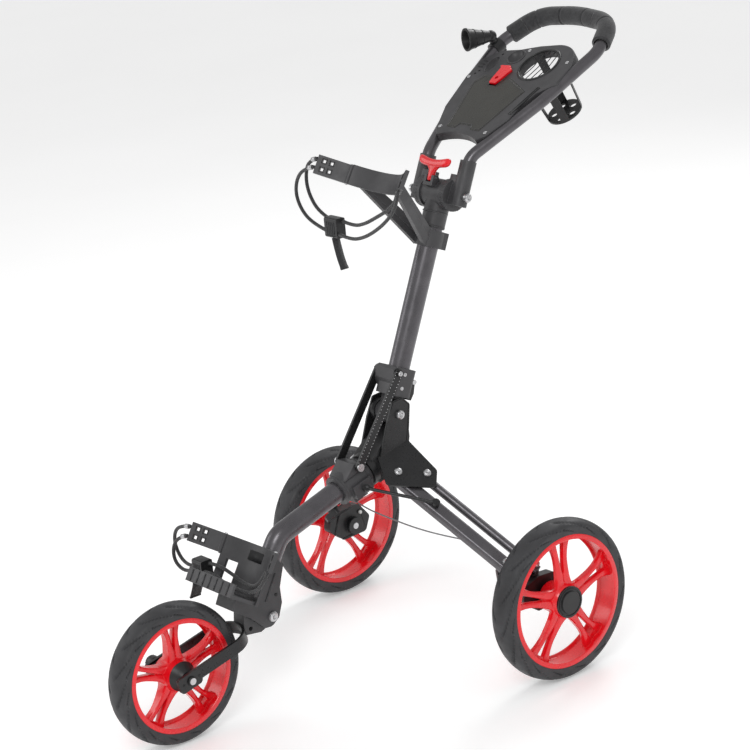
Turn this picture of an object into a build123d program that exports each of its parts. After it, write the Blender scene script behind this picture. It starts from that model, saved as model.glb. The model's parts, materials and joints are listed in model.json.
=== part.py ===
from build123d import *
import os
from math import atan2, cos, degrees, hypot, pi, radians, sin, sqrt, tan

# Three-wheel folding golf push trolley.  Millimetres.
# +X is the trolley's left, -Y is forward (towards the front wheel), +Z is up.
# The origin is on the ground, at the middle of the object's footprint.

# ---------------------------------------------------------------- wheels
REAR_AXLE = (142, 143)          # Y and Z of the rear axle line
REAR_TYRE_R = 143
REAR_RIM_R = 119
FRONT_AXLE = (-454, 124)
FRONT_TYRE_R = 124
FRONT_RIM_R = 100
WHEEL_WIDTH = 46
TRACK = 620                     # between the middles of the rear wheels
SPOKES = 5
AXLE_R = 6
HUB_R = 27

# ---------------------------------------------------------------- frame
TUBE_R = 19                     # front tube and mast
TUBE_WALL = 2
FRONT_TUBE_POINT = (-80, 336)   # a point on the front tube's axis
FRONT_TUBE_SLOPE = 17.3         # degrees down towards the front
MAST_PIVOT = (50, 447)
MAST_TILT = 23.8                # degrees back from vertical
HANDLE_PIVOT = (208, 807)
HANDLE_SLOPE = 29.5             # degrees up towards the rear
KNUCKLE_PIVOT = (-260, 168)     # the front fork folds about this bolt
FORK_SLOPE = 13
BAG_TILT = 32                   # the bag's own axis, degrees back from vertical

# ---------------------------------------------------------------- folding linkage
STRUT_TOP = (58, 520)
STRUT_FOOT = (-47, 377)
CLAMP_LENGTH = 64
LEG_INNER = Vector(51.5, 14, 346)          # lower leg's bolt at the side plate
LEG_DIR = Vector(0.785, 0.266, -0.560).normalized()
LEG_NORMAL = Vector(0.612, -0.189, 0.768).normalized()
LEG_LENGTH = 248
LEG_SPACING = Vector(25.6, 43.2, -9.7)     # from the lower leg's bolt to the upper leg's
ROD_REACH = 86.8                           # along the lower leg to the fold rod
ROD_INNER = Vector(42, -46, 341)
ROD_AXIS = Vector(0.6602, -0.2436, 0.7108)     # hinge pin of the fold rod on the slider clamp
ROD_PIN_R = 2.4

# ---------------------------------------------------------------- bag cradles
LOWER_CRADLE = (-252, 288)      # Y and Z of the middle of the lower shell's top edge
UPPER_CRADLE = (96, 864)        # the same for the upper band
CRADLE_R = 110
CRADLE_HALF = 68                # half the chord of a cradle
WING_LENGTH = 63
WING_HEIGHT = 34
CORD_R = 3.2

# ---------------------------------------------------------------- clearances
RUN = 0.4                       # between pieces that turn or slide on each other
FIT = 0.05                      # pin in bore, radial


def direction(angle):
    """Unit vector in the YZ plane, angle in degrees from +Y towards +Z."""
    return Vector(0, cos(radians(angle)), sin(radians(angle)))


MAST = direction(90 - MAST_TILT)
MAST_FRONT = direction(180 - MAST_TILT)
TUBE_BACK = direction(FRONT_TUBE_SLOPE)
TUBE_UP = direction(90 + FRONT_TUBE_SLOPE)
HANDLE = direction(HANDLE_SLOPE)
HANDLE_UP = direction(90 + HANDLE_SLOPE)
BAG = direction(90 - BAG_TILT)
BAG_FRONT = direction(180 - BAG_TILT)


def at(x, yz):
    return Vector(x, yz[0], yz[1])


def mast_at(along, front=0, x=0):
    """A point of the mast's own frame: along it from its pivot, and in front of it."""
    return at(x, MAST_PIVOT) + MAST * along + MAST_FRONT * front


def mast_yz(along, front=0):
    point = mast_at(along, front)
    return (point.Y, point.Z)


def tube_at(along, up=0, x=0):
    """A point of the front tube's frame, measured back from the clamp's front rim."""
    return at(x, FRONT_TUBE_POINT) + TUBE_BACK * along + TUBE_UP * up


def tube_yz(along, up=0):
    point = tube_at(along, up)
    return (point.Y, point.Z)


def handle_at(x, along, up=0):
    """A point of the handle's plane: along it from the console's lower edge."""
    return at(x, (260, 887)) + HANDLE * along + HANDLE_UP * up


def mirrored(solid_part):
    return mirror(solid_part, about=Plane.YZ)


def save(solid_part, label):
    solid_part.label = label
    export_step(solid_part, f"parts/{label}.step")


def group(solids, label):
    """Several separate pieces kept in one node."""
    with BuildPart() as made:
        for piece in solids:
            add(piece)
    save(made.part, label)


def rod(start, end, outer, inner=0):
    """A straight round bar or tube between two points."""
    start = Vector(start)
    end = Vector(end)
    with BuildPart() as made:
        with BuildSketch(Plane(origin=start, z_dir=end - start)):
            Circle(outer)
            if inner:
                Circle(inner, mode=Mode.SUBTRACT)
        extrude(amount=(end - start).length)
    return made.part


def bent(points, radii, outer, inner=0):
    """A round tube along straight runs joined by tangent arcs."""
    with BuildPart() as made:
        with BuildLine() as path:
            FilletPolyline(*points, radius=radii)
        with BuildSketch(Plane(origin=path.line @ 0, z_dir=path.line % 0)):
            Circle(outer)
            if inner:
                Circle(inner, mode=Mode.SUBTRACT)
        sweep()
    return made.part


def cord_radii(points):
    """The largest arc that each corner's two runs allow."""
    radii = []
    for a, b, c in zip(points, points[1:], points[2:]):
        before = Vector(*b) - Vector(*a)
        after = Vector(*c) - Vector(*b)
        half_turn = radians(before.get_angle(after)) / 2
        radii.append(0.45 * min(before.length, after.length) / tan(half_turn))
    return radii


def cord(points, label, radius=CORD_R):
    """A cord along its route, its length and its arcs printed."""
    radii = cord_radii(points)
    with BuildPart() as made:
        with BuildLine() as path:
            FilletPolyline(*points, radius=radii)
        with BuildSketch(Plane(origin=path.line @ 0, z_dir=path.line % 0)):
            Circle(radius)
        sweep()
    length = path.wire().length
    expected = pi * radius ** 2 * length
    print(f"{label}: length {length:.0f}, volume {made.part.volume / expected:.4f} of section x length,"
          f" arcs {' '.join(f'{r:.0f}' for r in radii)}")
    return made.part


def x_pin(yz, x_from, x_to, radius):
    return rod((x_from, *yz), (x_to, *yz), radius)


os.makedirs("parts", exist_ok=True)

# ================================================================ wheels


def tyre(x, axle, outer, inner):
    """Solid foam tyre with a rounded tread."""
    half = WHEEL_WIDTH / 2
    with BuildPart() as made:
        with BuildSketch(Plane(origin=(x, *axle), x_dir=(1, 0, 0), z_dir=(0, -1, 0))):
            with BuildLine():
                Polyline((-half, outer - 13), (-half, inner), (half, inner), (half, outer - 13))
                ThreePointArc((half, outer - 13), (0, outer), (-half, outer - 13))
            make_face()
        revolve(axis=Axis((x, *axle), (1, 0, 0)))
    return made.part


def rim(x, axle, radius, outward):
    """Deep-barrelled plastic wheel: flanges, barrel, hub and five forked spokes."""
    half = WHEEL_WIDTH / 2
    wall = 5
    with BuildPart() as made:
        with BuildSketch(Plane(origin=(x, *axle), x_dir=(1, 0, 0), z_dir=(0, -1, 0))):
            with BuildLine():
                Polyline((-half, radius), (-half, radius - 9), (-half + 3, radius - 9), (-half + 6, radius - wall),
                         (half - 6, radius - wall), (half - 3, radius - 9), (half, radius - 9), (half, radius),
                         close=True)
            make_face()
        revolve(axis=Axis((x, *axle), (1, 0, 0)))
        with BuildSketch(Plane.YZ.offset(x - half)):
            with Locations(axle):
                Circle(HUB_R)
        extrude(amount=WHEEL_WIDTH)
        with BuildSketch(Plane(origin=(x - 6 + 6 * outward, *axle), x_dir=(0, 1, 0), z_dir=(1, 0, 0))):
            with PolarLocations(0, SPOKES, start_angle=90):
                Polygon((HUB_R - 6, -11), (radius * 0.55, -14), (radius - 4.5, -27), (radius - 4.5, -11),
                        (radius * 0.62, 0), (radius - 4.5, 11), (radius - 4.5, 27), (radius * 0.55, 14),
                        (HUB_R - 6, 11), align=None)
        extrude(amount=12)
        with BuildSketch(Plane.YZ.offset(x - half)):
            with Locations(axle):
                Circle(AXLE_R + FIT)
        extrude(amount=WHEEL_WIDTH, mode=Mode.SUBTRACT)
    return made.part


def hub_cap(x, axle, outward, radius):
    """Domed cover over the axle's end, with a raised disc in its middle."""
    with BuildPart() as made:
        with BuildSketch(Plane(origin=(x, *axle), z_dir=(outward, 0, 0))):
            Circle(radius)
        extrude(amount=4)
        with BuildSketch(Plane(origin=(x + 4 * outward, *axle), z_dir=(outward, 0, 0))):
            Circle(radius * 0.72)
        extrude(amount=3)
        fillet(made.faces().sort_by(Axis.X)[-1 if outward > 0 else 0].edges(), 1.2)
    return made.part


WHEEL_X = TRACK / 2
for side, sign in (("left", 1), ("right", -1)):
    middle = sign * WHEEL_X
    face = middle + sign * WHEEL_WIDTH / 2
    save(tyre(middle, REAR_AXLE, REAR_TYRE_R, REAR_RIM_R), f"rear_tyre_{side}")
    save(rim(middle, REAR_AXLE, REAR_RIM_R, sign), f"rear_rim_{side}")
    save(hub_cap(face, REAR_AXLE, sign, 28), f"rear_hub_cap_{side}")
save(tyre(0, FRONT_AXLE, FRONT_TYRE_R, FRONT_RIM_R), "front_tyre")
save(rim(0, FRONT_AXLE, FRONT_RIM_R, 0), "front_rim")

# ================================================================ front fork

FORK_ALONG = direction(FORK_SLOPE)
FORK_X = 42.5
FORK_THICK = 5
FORK_WIDTH = 22
FORK_BEND_Y = 102               # from the axle to the start of the round back bend
fork_plane = Plane(origin=at(0, FRONT_AXLE), x_dir=(1, 0, 0), z_dir=Vector(1, 0, 0).cross(FORK_ALONG))
with BuildPart() as front_fork:
    with BuildSketch(fork_plane.offset(-FORK_WIDTH / 2)):
        for inset, kind in ((0, Mode.ADD), (FORK_THICK, Mode.SUBTRACT)):
            width = 2 * (FORK_X + FORK_THICK / 2 - inset)
            with Locations((0, FORK_BEND_Y)):
                Circle(width / 2, mode=kind)
            with Locations((0, (FORK_BEND_Y - 22) / 2)):
                Rectangle(width, FORK_BEND_Y + 22 + 2 * inset, mode=kind)
    extrude(amount=FORK_WIDTH)
    with BuildSketch(Plane.YZ.offset(-FORK_X - FORK_THICK)):
        with Locations(FRONT_AXLE):
            Circle(AXLE_R + FIT)
    extrude(amount=2 * (FORK_X + FORK_THICK), mode=Mode.SUBTRACT)
save(front_fork.part, "front_fork")

fork_back = at(0, FRONT_AXLE) + FORK_ALONG * (FORK_BEND_Y + FORK_X - FORK_THICK / 2)
with BuildPart() as fork_hinge:
    with BuildSketch(Plane.YZ.offset(-15)):
        with BuildLine():
            Polyline((-312, 184), (-316, 148), (-280, 143), (-262, 150), (-262, 184), close=True)
        make_face()
        with Locations(KNUCKLE_PIVOT):
            Circle(19)
    extrude(amount=30)
    with BuildSketch(Plane.YZ.offset(-15)):
        with Locations(KNUCKLE_PIVOT):
            Circle(5 + FIT)
        with Locations((-301, 156)):
            Circle(4)
    extrude(amount=30, mode=Mode.SUBTRACT)
    add(front_fork.part, mode=Mode.SUBTRACT)
save(fork_hinge.part, "fork_hinge")
save(x_pin(FRONT_AXLE, -56, 56, AXLE_R), "front_axle")


def fork_end(sign):
    """Plastic dropout shoe on the end of a fork arm, with the axle's nut cover."""
    with BuildPart() as made:
        with BuildSketch(fork_plane.offset(-14)):
            with Locations((sign * (FORK_X + FORK_THICK / 2 + 3), -2)):
                Rectangle(6, 46)
        extrude(amount=28)
        fillet(made.edges().filter_by(Axis.X), 7)
        with BuildSketch(Plane(origin=(sign * (FORK_X + FORK_THICK / 2), *FRONT_AXLE), z_dir=(sign, 0, 0))):
            Circle(AXLE_R)
        extrude(amount=6, mode=Mode.SUBTRACT)
    return made.part


group([fork_end(1), fork_end(-1)], "fork_ends")


def hub_cone(sign):
    """Tapered spacer between the front rim and a fork arm."""
    with BuildPart() as made:
        with BuildSketch(Plane(origin=(sign * (WHEEL_WIDTH / 2), *FRONT_AXLE), z_dir=(sign, 0, 0))):
            Circle(26)
        with BuildSketch(Plane(origin=(sign * (FORK_X - FORK_THICK / 2 - RUN), *FRONT_AXLE), z_dir=(sign, 0, 0))):
            Circle(13)
        loft()
        with BuildSketch(Plane(origin=(sign * (WHEEL_WIDTH / 2), *FRONT_AXLE), z_dir=(sign, 0, 0))):
            Circle(AXLE_R + FIT)
        extrude(amount=30, mode=Mode.SUBTRACT)
    return made.part


group([hub_cone(1), hub_cone(-1)], "front_hubs")

with BuildPart() as alignment_lever:
    with BuildSketch(Plane(origin=(-54 - RUN, *FRONT_AXLE), z_dir=(-1, 0, 0))):
        Circle(13)
    extrude(amount=10)
    with BuildSketch(Plane(origin=(-58, *FRONT_AXLE), z_dir=(-1, 0, 0), x_dir=(0, 1, 0))):
        with Locations((20, 0)):
            SlotOverall(48, 12)
    extrude(amount=5)
    with BuildSketch(Plane(origin=(-54, *FRONT_AXLE), z_dir=(-1, 0, 0))):
        Circle(AXLE_R + FIT)
    extrude(amount=3, mode=Mode.SUBTRACT)
save(alignment_lever.part, "alignment_lever")

# ================================================================ front tube, knuckle and hinge block

FRONT_TUBE_ROUTE = [tube_at(146), tube_at(-140), at(0, (-266, 214))]
FRONT_TUBE_BEND = [38]
front_tube_solid = bent(FRONT_TUBE_ROUTE, FRONT_TUBE_BEND, TUBE_R)
save(bent(FRONT_TUBE_ROUTE, FRONT_TUBE_BEND, TUBE_R, TUBE_R - TUBE_WALL), "front_tube")

with BuildPart() as knuckle:
    with BuildSketch(Plane.YZ.offset(-24)):
        with BuildLine():
            Polyline((-226, 252), (-238, 214), (-237, 186), (-246, 162), (-262, 150), (-276, 151),
                     (-306, 180), (-341, 204), (-331, 224), (-303, 206), (-292, 204), (-282, 226), (-260, 262),
                     (-240, 270), close=True)
        make_face()
    extrude(amount=48)
    fillet(knuckle.edges().filter_by(Axis.X).group_by(Axis.Z)[0], 12)
    with BuildSketch(Plane.YZ.offset(-15 - RUN)):
        with BuildLine():
            Polyline((-330, 120), (-220, 120), (-220, 194), (-296, 194), (-322, 190), close=True)
        make_face()
    extrude(amount=30 + 2 * RUN, mode=Mode.SUBTRACT)
    with BuildSketch(Plane.YZ.offset(-24)):
        with Locations(KNUCKLE_PIVOT):
            Circle(5)
    extrude(amount=48, mode=Mode.SUBTRACT)
    add(front_tube_solid, mode=Mode.SUBTRACT)

with BuildPart() as knuckle_bolt:
    with BuildSketch(Plane.YZ.offset(-28)):
        with Locations(KNUCKLE_PIVOT):
            Circle(5)
    extrude(amount=56)
    for face_x, way in ((24, 1), (-24, -1)):
        with BuildSketch(Plane(origin=(face_x, *KNUCKLE_PIVOT), z_dir=(way, 0, 0))):
            Circle(9)
        extrude(amount=4)

with BuildPart() as hinge_block:
    with BuildSketch(Plane.YZ.offset(-25)):
        with BuildLine():
            Polyline(tube_yz(74, 24), tube_yz(74, -24), tube_yz(140, -26), (72, 400), (72, 440), (50, 424),
                     (30, 414), (8, 402), close=True)
        make_face()
        with Locations(MAST_PIVOT):
            Circle(22)
    extrude(amount=50)
    with BuildSketch(Plane.YZ.offset(-14)):
        with Locations(MAST_PIVOT):
            Circle(27)
    extrude(amount=28, mode=Mode.SUBTRACT)
    with BuildSketch(Plane.YZ.offset(-25)):
        with Locations(MAST_PIVOT):
            Circle(5)
    extrude(amount=50, mode=Mode.SUBTRACT)
    with BuildSketch(Plane(origin=tube_at(CLAMP_LENGTH + 1), z_dir=TUBE_BACK)):
        Circle(31)
    extrude(amount=12)
    add(rod(tube_at(60), tube_at(150), TUBE_R), mode=Mode.SUBTRACT)
save(hinge_block.part, "hinge_block")

with BuildPart() as mast_pivot_bolt:
    with BuildSketch(Plane.YZ.offset(-31)):
        with Locations(MAST_PIVOT):
            Circle(5)
    extrude(amount=62)
    for face_x, way in ((29, 1), (-29, -1)):
        with BuildSketch(Plane(origin=(face_x, *MAST_PIVOT), z_dir=(way, 0, 0))):
            Circle(8)
        extrude(amount=4)

# ================================================================ side plates

PLATE_X = 26                    # inside face of the upright part of a side plate
PLATE_T = 3


def side_plate():
    """Left stamped plate: an upright cheek and a flared foot that carries the legs."""
    foot_x = (LEG_SPACING - LEG_NORMAL * LEG_SPACING.dot(LEG_NORMAL)).normalized()
    with BuildPart() as made:
        with BuildSketch(Plane(origin=LEG_INNER + LEG_NORMAL * 13, x_dir=foot_x, z_dir=LEG_NORMAL)):
            with BuildLine():
                Polyline((-34, 29), (-22, -28), (66, -28), (70, 8), (19, 72), close=True)
            make_face()
            fillet(vertices().sort_by(Axis.X)[1:2] + vertices().sort_by(Axis.X)[-2:], 9)
        extrude(amount=PLATE_T)
        split(bisect_by=Plane.YZ.offset(PLATE_X), keep=Keep.TOP)
        with BuildSketch(Plane.YZ.offset(PLATE_X)):
            with BuildLine():
                Polyline((-2, 376), (64, 392), (70, 420), (76, 460), (60, 476), (38, 474), (22, 440), close=True)
            make_face()
            fillet(vertices().sort_by(Axis.Y)[-3:], 7)
            with Locations(MAST_PIVOT):
                Circle(5, mode=Mode.SUBTRACT)
        extrude(amount=PLATE_T)
        for offset in (Vector(0, 0, 0), LEG_SPACING):
            with BuildSketch(Plane(origin=LEG_INNER + offset + LEG_NORMAL * 10, z_dir=LEG_NORMAL)):
                Circle(4)
            extrude(amount=10, mode=Mode.SUBTRACT)
    return made.part


plate_left = side_plate()
group([plate_left, mirrored(plate_left)], "side_plates")

# ================================================================ slider clamp and struts

clamp_front = Plane(origin=tube_at(0), x_dir=(1, 0, 0), z_dir=TUBE_BACK)
with BuildPart() as rod_pin:
    with BuildSketch(Plane(origin=ROD_INNER - ROD_AXIS * 16, z_dir=ROD_AXIS)):
        Circle(ROD_PIN_R)
    extrude(amount=21)

with BuildPart() as slider_clamp:
    with BuildSketch(clamp_front):
        Circle(27)
    extrude(amount=CLAMP_LENGTH)
    with BuildSketch(Plane.YZ.offset(-23)):
        with BuildLine():
            Polyline(tube_yz(10, 20), tube_yz(62, 20), (STRUT_FOOT[0] + 9, STRUT_FOOT[1] + 4),
                     (STRUT_FOOT[0] - 8, STRUT_FOOT[1] + 6), close=True)
        make_face()
    extrude(amount=46)
    with BuildSketch(Plane(origin=tube_at(34, -6), x_dir=TUBE_BACK, z_dir=(1, 0, 0))):
        Rectangle(40, 24)
    extrude(amount=ROD_INNER.X - 8, both=True)
    with BuildSketch(Plane(origin=tube_at(34, -24), x_dir=TUBE_BACK, z_dir=(1, 0, 0))):
        Rectangle(30, 20)
    extrude(amount=14, both=True)
    with BuildSketch(clamp_front):
        Circle(TUBE_R + RUN)
    extrude(amount=CLAMP_LENGTH, mode=Mode.SUBTRACT)
    with BuildSketch(Plane.YZ.offset(-30)):
        with Locations(STRUT_FOOT):
            Circle(4)
    extrude(amount=60, mode=Mode.SUBTRACT)
    add(rod_pin.part)
    add(mirrored(rod_pin.part))
save(slider_clamp.part, "slider_clamp")

with BuildPart() as strut_pin:
    with BuildSketch(Plane.YZ.offset(-31)):
        with Locations(STRUT_FOOT):
            Circle(4)
    extrude(amount=62)
    for face_x, way in ((30.5, 1), (-30.5, -1)):
        with BuildSketch(Plane(origin=(face_x, *STRUT_FOOT), z_dir=(way, 0, 0))):
            Circle(7)
        extrude(amount=3)
save(strut_pin.part, "strut_pin")


def strut(x_inner):
    """Flat bar from the slider clamp to the mast sleeve, its top bolt riding on it."""
    span = Vector(0, STRUT_TOP[0] - STRUT_FOOT[0], STRUT_TOP[1] - STRUT_FOOT[1])
    middle = at(x_inner, STRUT_FOOT) + span / 2
    with BuildPart() as made:
        with BuildSketch(Plane(origin=middle, x_dir=span, z_dir=(1, 0, 0))):
            SlotCenterToCenter(span.length, 16)
        extrude(amount=4)
        with BuildSketch(Plane(origin=at(x_inner, STRUT_FOOT), z_dir=(1, 0, 0))):
            Circle(4 + FIT)
        extrude(amount=4, mode=Mode.SUBTRACT)
        with BuildSketch(Plane(origin=at(x_inner + 4, STRUT_TOP), z_dir=(1, 0, 0))):
            RegularPolygon(6.5, 6)
        extrude(amount=3)
    return made.part


strut_left = strut(26)
save(strut_left, "strut_left")
save(mirrored(strut_left), "strut_right")

# ================================================================ legs, rods and wheel brackets

BRACKET_X = 250


def leg_bores(origin, height):
    """The bolt holes at both ends of a leg, to be taken out of it."""
    with BuildPart() as made:
        with BuildSketch(Plane(origin=origin, x_dir=LEG_DIR, z_dir=LEG_NORMAL).offset(-height)):
            Circle(4 + FIT)
            with Locations((LEG_LENGTH, 0)):
                Circle(4 + FIT)
        extrude(amount=2 * height)
    return made.part


with BuildPart() as lower_leg_body:
    with BuildSketch(Plane(origin=LEG_INNER - LEG_DIR * 2, x_dir=LEG_NORMAL, z_dir=LEG_DIR)):
        RectangleRounded(20, 26, 6)
    extrude(amount=LEG_LENGTH + 4)
    with BuildSketch(Plane(origin=LEG_INNER, x_dir=LEG_DIR, z_dir=LEG_NORMAL).offset(-9)):
        Circle(12.5)
        with Locations((LEG_LENGTH, 0)):
            Circle(12.5)
    extrude(amount=18)
    add(leg_bores(LEG_INNER, 20), mode=Mode.SUBTRACT)
with BuildPart() as upper_leg_body:
    add(rod(LEG_INNER + LEG_SPACING - LEG_DIR * 8, LEG_INNER + LEG_SPACING + LEG_DIR * (LEG_LENGTH + 8), 8))
    add(leg_bores(LEG_INNER + LEG_SPACING, 20), mode=Mode.SUBTRACT)
lower_leg = lower_leg_body.part
upper_leg = upper_leg_body.part
save(lower_leg, "lower_leg_left")
save(mirrored(lower_leg), "lower_leg_right")
save(upper_leg, "upper_leg_left")
save(mirrored(upper_leg), "upper_leg_right")


def leg_bolts(along, reach_up, reach_down):
    """The two bolts on which a leg pair turns, side by side in one node."""
    with BuildPart() as made:
        for offset in (Vector(0, 0, 0), LEG_SPACING):
            base = LEG_INNER + offset + LEG_DIR * along
            with BuildSketch(Plane(origin=base - LEG_NORMAL * reach_down, z_dir=LEG_NORMAL)):
                Circle(4)
            extrude(amount=reach_up + reach_down)
            with BuildSketch(Plane(origin=base + LEG_NORMAL * reach_up, z_dir=LEG_NORMAL)):
                Circle(7)
            extrude(amount=3)
    return made.part


inner_bolts = leg_bolts(0, 16, 11)
group([mast_pivot_bolt.part, knuckle_bolt.part, inner_bolts, mirrored(inner_bolts)], "chassis_bolts")

rod_outer = LEG_INNER + LEG_DIR * ROD_REACH
rod_lift = LEG_NORMAL * 17


def fold_rod():
    """Thin rod with an eye at each end, from the slider clamp to the lower leg."""
    start = ROD_INNER
    end = rod_outer + rod_lift
    along = (end - start).normalized()
    with BuildPart() as made:
        with BuildSketch(Plane(origin=start, z_dir=along)):
            Circle(3)
        extrude(amount=(end - start).length)
        with BuildSketch(Plane(origin=end - LEG_NORMAL * 3, z_dir=LEG_NORMAL)):
            Circle(7)
        extrude(amount=6)
        with BuildSketch(Plane(origin=ROD_INNER, z_dir=ROD_AXIS)):
            Circle(6.5)
        extrude(amount=3.4, both=True)
        with BuildSketch(Plane(origin=ROD_INNER, z_dir=ROD_AXIS)):
            Circle(ROD_PIN_R + RUN)
        extrude(amount=12, both=True, mode=Mode.SUBTRACT)
    return made.part


rod_left = fold_rod()
save(rod_left, "fold_rod_left")
save(mirrored(rod_left), "fold_rod_right")


def wheel_bracket():
    """Left brake housing: a plastic shell that carries the axle, and a shelf for both legs' ends."""
    socket_low = LEG_INNER + LEG_DIR * LEG_LENGTH
    shelf = Plane(origin=socket_low - LEG_NORMAL * 14.4, x_dir=LEG_SPACING, z_dir=LEG_NORMAL * -1)
    with BuildPart() as made:
        with BuildSketch(Plane.YZ.offset(BRACKET_X + 12)):
            with BuildLine():
                Polyline((86, 145), (119, 119), (172, 122), (184, 150), (160, 180), (128, 182), (92, 172), close=True)
            make_face()
        extrude(amount=18)
        fillet(made.edges().filter_by(Axis.X), 9)
        with BuildSketch(Plane(origin=(BRACKET_X + 12, *REAR_AXLE), z_dir=(-1, 0, 0))):
            Circle(16)
        extrude(amount=10)
        with BuildSketch(shelf):
            with BuildLine():
                Polyline((-12, -11), (62, -11), (62, 20), (32, 40), (-10, 18), close=True)
            make_face()
            fillet(vertices(), 7)
        extrude(amount=10)
        for offset in (Vector(0, 0, 0), LEG_SPACING):
            with BuildSketch(Plane(origin=socket_low + offset - LEG_NORMAL * (10 + RUN), z_dir=LEG_NORMAL * -1)):
                Circle(11)
            extrude(amount=14)
        with BuildSketch(Plane(origin=(BRACKET_X - 10, *REAR_AXLE), z_dir=(1, 0, 0))):
            Circle(AXLE_R)
        extrude(amount=60, mode=Mode.SUBTRACT)
        for offset in (Vector(0, 0, 0), LEG_SPACING):
            with BuildSketch(Plane(origin=socket_low + offset - LEG_NORMAL * 26, z_dir=LEG_NORMAL)):
                Circle(4)
            extrude(amount=30, mode=Mode.SUBTRACT)
    return made.part


bracket_left = wheel_bracket()
save(bracket_left, "wheel_bracket_left")
save(mirrored(bracket_left), "wheel_bracket_right")
outer_bolts = leg_bolts(LEG_LENGTH, 11, 24)
axle_left = x_pin(REAR_AXLE, BRACKET_X + 2, WHEEL_X + WHEEL_WIDTH / 2, AXLE_R)
group([outer_bolts, axle_left], "wheel_pins_left")
group([mirrored(outer_bolts), mirrored(axle_left)], "wheel_pins_right")


# ================================================================ mast

HEAD = hypot(HANDLE_PIVOT[0] - MAST_PIVOT[0], HANDLE_PIVOT[1] - MAST_PIVOT[1])
STRUT_TOP_ALONG = (STRUT_TOP[0] - MAST_PIVOT[0]) * MAST.Y + (STRUT_TOP[1] - MAST_PIVOT[1]) * MAST.Z
SLEEVE_TOP = 80


def mast_plane(along):
    return Plane(origin=mast_at(along), x_dir=(1, 0, 0), z_dir=MAST)


save(rod(mast_at(40), mast_at(HEAD - 22), TUBE_R, TUBE_R - TUBE_WALL), "mast_tube")

with BuildPart() as mast_foot:
    with BuildSketch(Plane.YZ.offset(-13.4)):
        with Locations(MAST_PIVOT):
            Circle(20)
        with BuildLine():
            Polyline(mast_yz(0, 13), mast_yz(40, 13), mast_yz(40, -13), mast_yz(0, -13), close=True)
        make_face()
    extrude(amount=26.8)
    with BuildSketch(mast_plane(39)):
        Circle(TUBE_R - TUBE_WALL)
    extrude(amount=40)
    with BuildSketch(Plane.YZ.offset(-14)):
        with Locations(MAST_PIVOT):
            Circle(5 + FIT)
    extrude(amount=28, mode=Mode.SUBTRACT)

with BuildPart() as mast_sleeve:
    with BuildSketch(mast_plane(30)):
        RectangleRounded(50, 50, 12)
    extrude(amount=SLEEVE_TOP - 30)
    with BuildSketch(Plane.YZ.offset(-25)):
        with BuildLine():
            Polyline(mast_yz(42, 20), mast_yz(56, 29), mast_yz(STRUT_TOP_ALONG + 4, 32), mast_yz(SLEEVE_TOP, 26),
                     mast_yz(SLEEVE_TOP, 10), mast_yz(42, 10), close=True)
        make_face()
    extrude(amount=50)
    with BuildSketch(Plane.YZ.offset(-25)):
        with BuildLine():
            Polyline(mast_yz(29, -19.5), mast_yz(66, -19.5), mast_yz(66, -30), mast_yz(29, -30), close=True)
        make_face()
    extrude(amount=50, mode=Mode.SUBTRACT)
    with BuildSketch(mast_plane(40)):
        Circle(TUBE_R)
    extrude(amount=60, mode=Mode.SUBTRACT)
    with BuildSketch(mast_plane(29)):
        Rectangle(27, 27)
        Circle(TUBE_R - TUBE_WALL)
    extrude(amount=12, mode=Mode.SUBTRACT)
    add(mast_foot.part)
save(mast_sleeve.part, "mast_sleeve")

LATCH_PIVOT = mast_yz(60, -25)
with BuildPart() as mast_latch:
    with BuildSketch(Plane.YZ.offset(-17)):
        with BuildLine():
            Polyline(mast_yz(65, -23), mast_yz(63.5, -29), mast_yz(40, -33), mast_yz(27, -30), mast_yz(27, -21),
                     mast_yz(52, -20), close=True)
        make_face()
    extrude(amount=34)
    with BuildSketch(Plane.YZ.offset(-17)):
        with Locations(LATCH_PIVOT):
            Circle(2 + FIT)
    extrude(amount=34, mode=Mode.SUBTRACT)
save(mast_latch.part, "mast_latch")
with BuildPart() as latch_pin:
    with BuildSketch(Plane.YZ.offset(-20)):
        with Locations(LATCH_PIVOT):
            Circle(2)
    extrude(amount=40)
    for way in (1, -1):
        with BuildSketch(Plane(origin=at(17.5 * way, LATCH_PIVOT), z_dir=(way, 0, 0))):
            Circle(4.5)
        extrude(amount=4)
    add(mast_sleeve.part, mode=Mode.SUBTRACT)

# ---------------------------------------------------------------- mast head and handle hinge

DISC_R = 28
DISC_X = 30
with BuildPart() as mast_head:
    with BuildSketch(Plane.YZ.offset(-DISC_X)):
        with Locations(HANDLE_PIVOT):
            Circle(DISC_R - 3)
    extrude(amount=2 * DISC_X)
    for way in (1, -1):
        with BuildSketch(Plane(origin=at(way * (DISC_X - 6), HANDLE_PIVOT), z_dir=(way, 0, 0))):
            Circle(DISC_R)
        extrude(amount=6)
    with BuildSketch(mast_plane(HEAD - 62)):
        Circle(TUBE_R + 3)
    extrude(amount=52)
    with BuildSketch(mast_plane(HEAD - 62)):
        Circle(TUBE_R)
    extrude(amount=40, mode=Mode.SUBTRACT)
    with BuildSketch(Plane.YZ.offset(-12)):
        with BuildLine():
            Polyline(mast_yz(HEAD + 8, 20), mast_yz(HEAD + 8, 34), mast_yz(HEAD + 26, 34), mast_yz(HEAD + 28, 24),
                     mast_yz(HEAD + 18, 16), close=True)
        make_face()
    extrude(amount=24)
    with BuildSketch(Plane.YZ.offset(-6 - RUN)):
        with Locations(mast_yz(HEAD + 22, 28)):
            Circle(10)
    extrude(amount=12 + 2 * RUN, mode=Mode.SUBTRACT)
    with BuildSketch(Plane.YZ.offset(-DISC_X)):
        with Locations(HANDLE_PIVOT):
            Circle(5)
        with Locations(mast_yz(HEAD + 22, 28)):
            Circle(2)
    extrude(amount=2 * DISC_X, mode=Mode.SUBTRACT)
save(mast_head.part, "mast_head")

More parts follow.
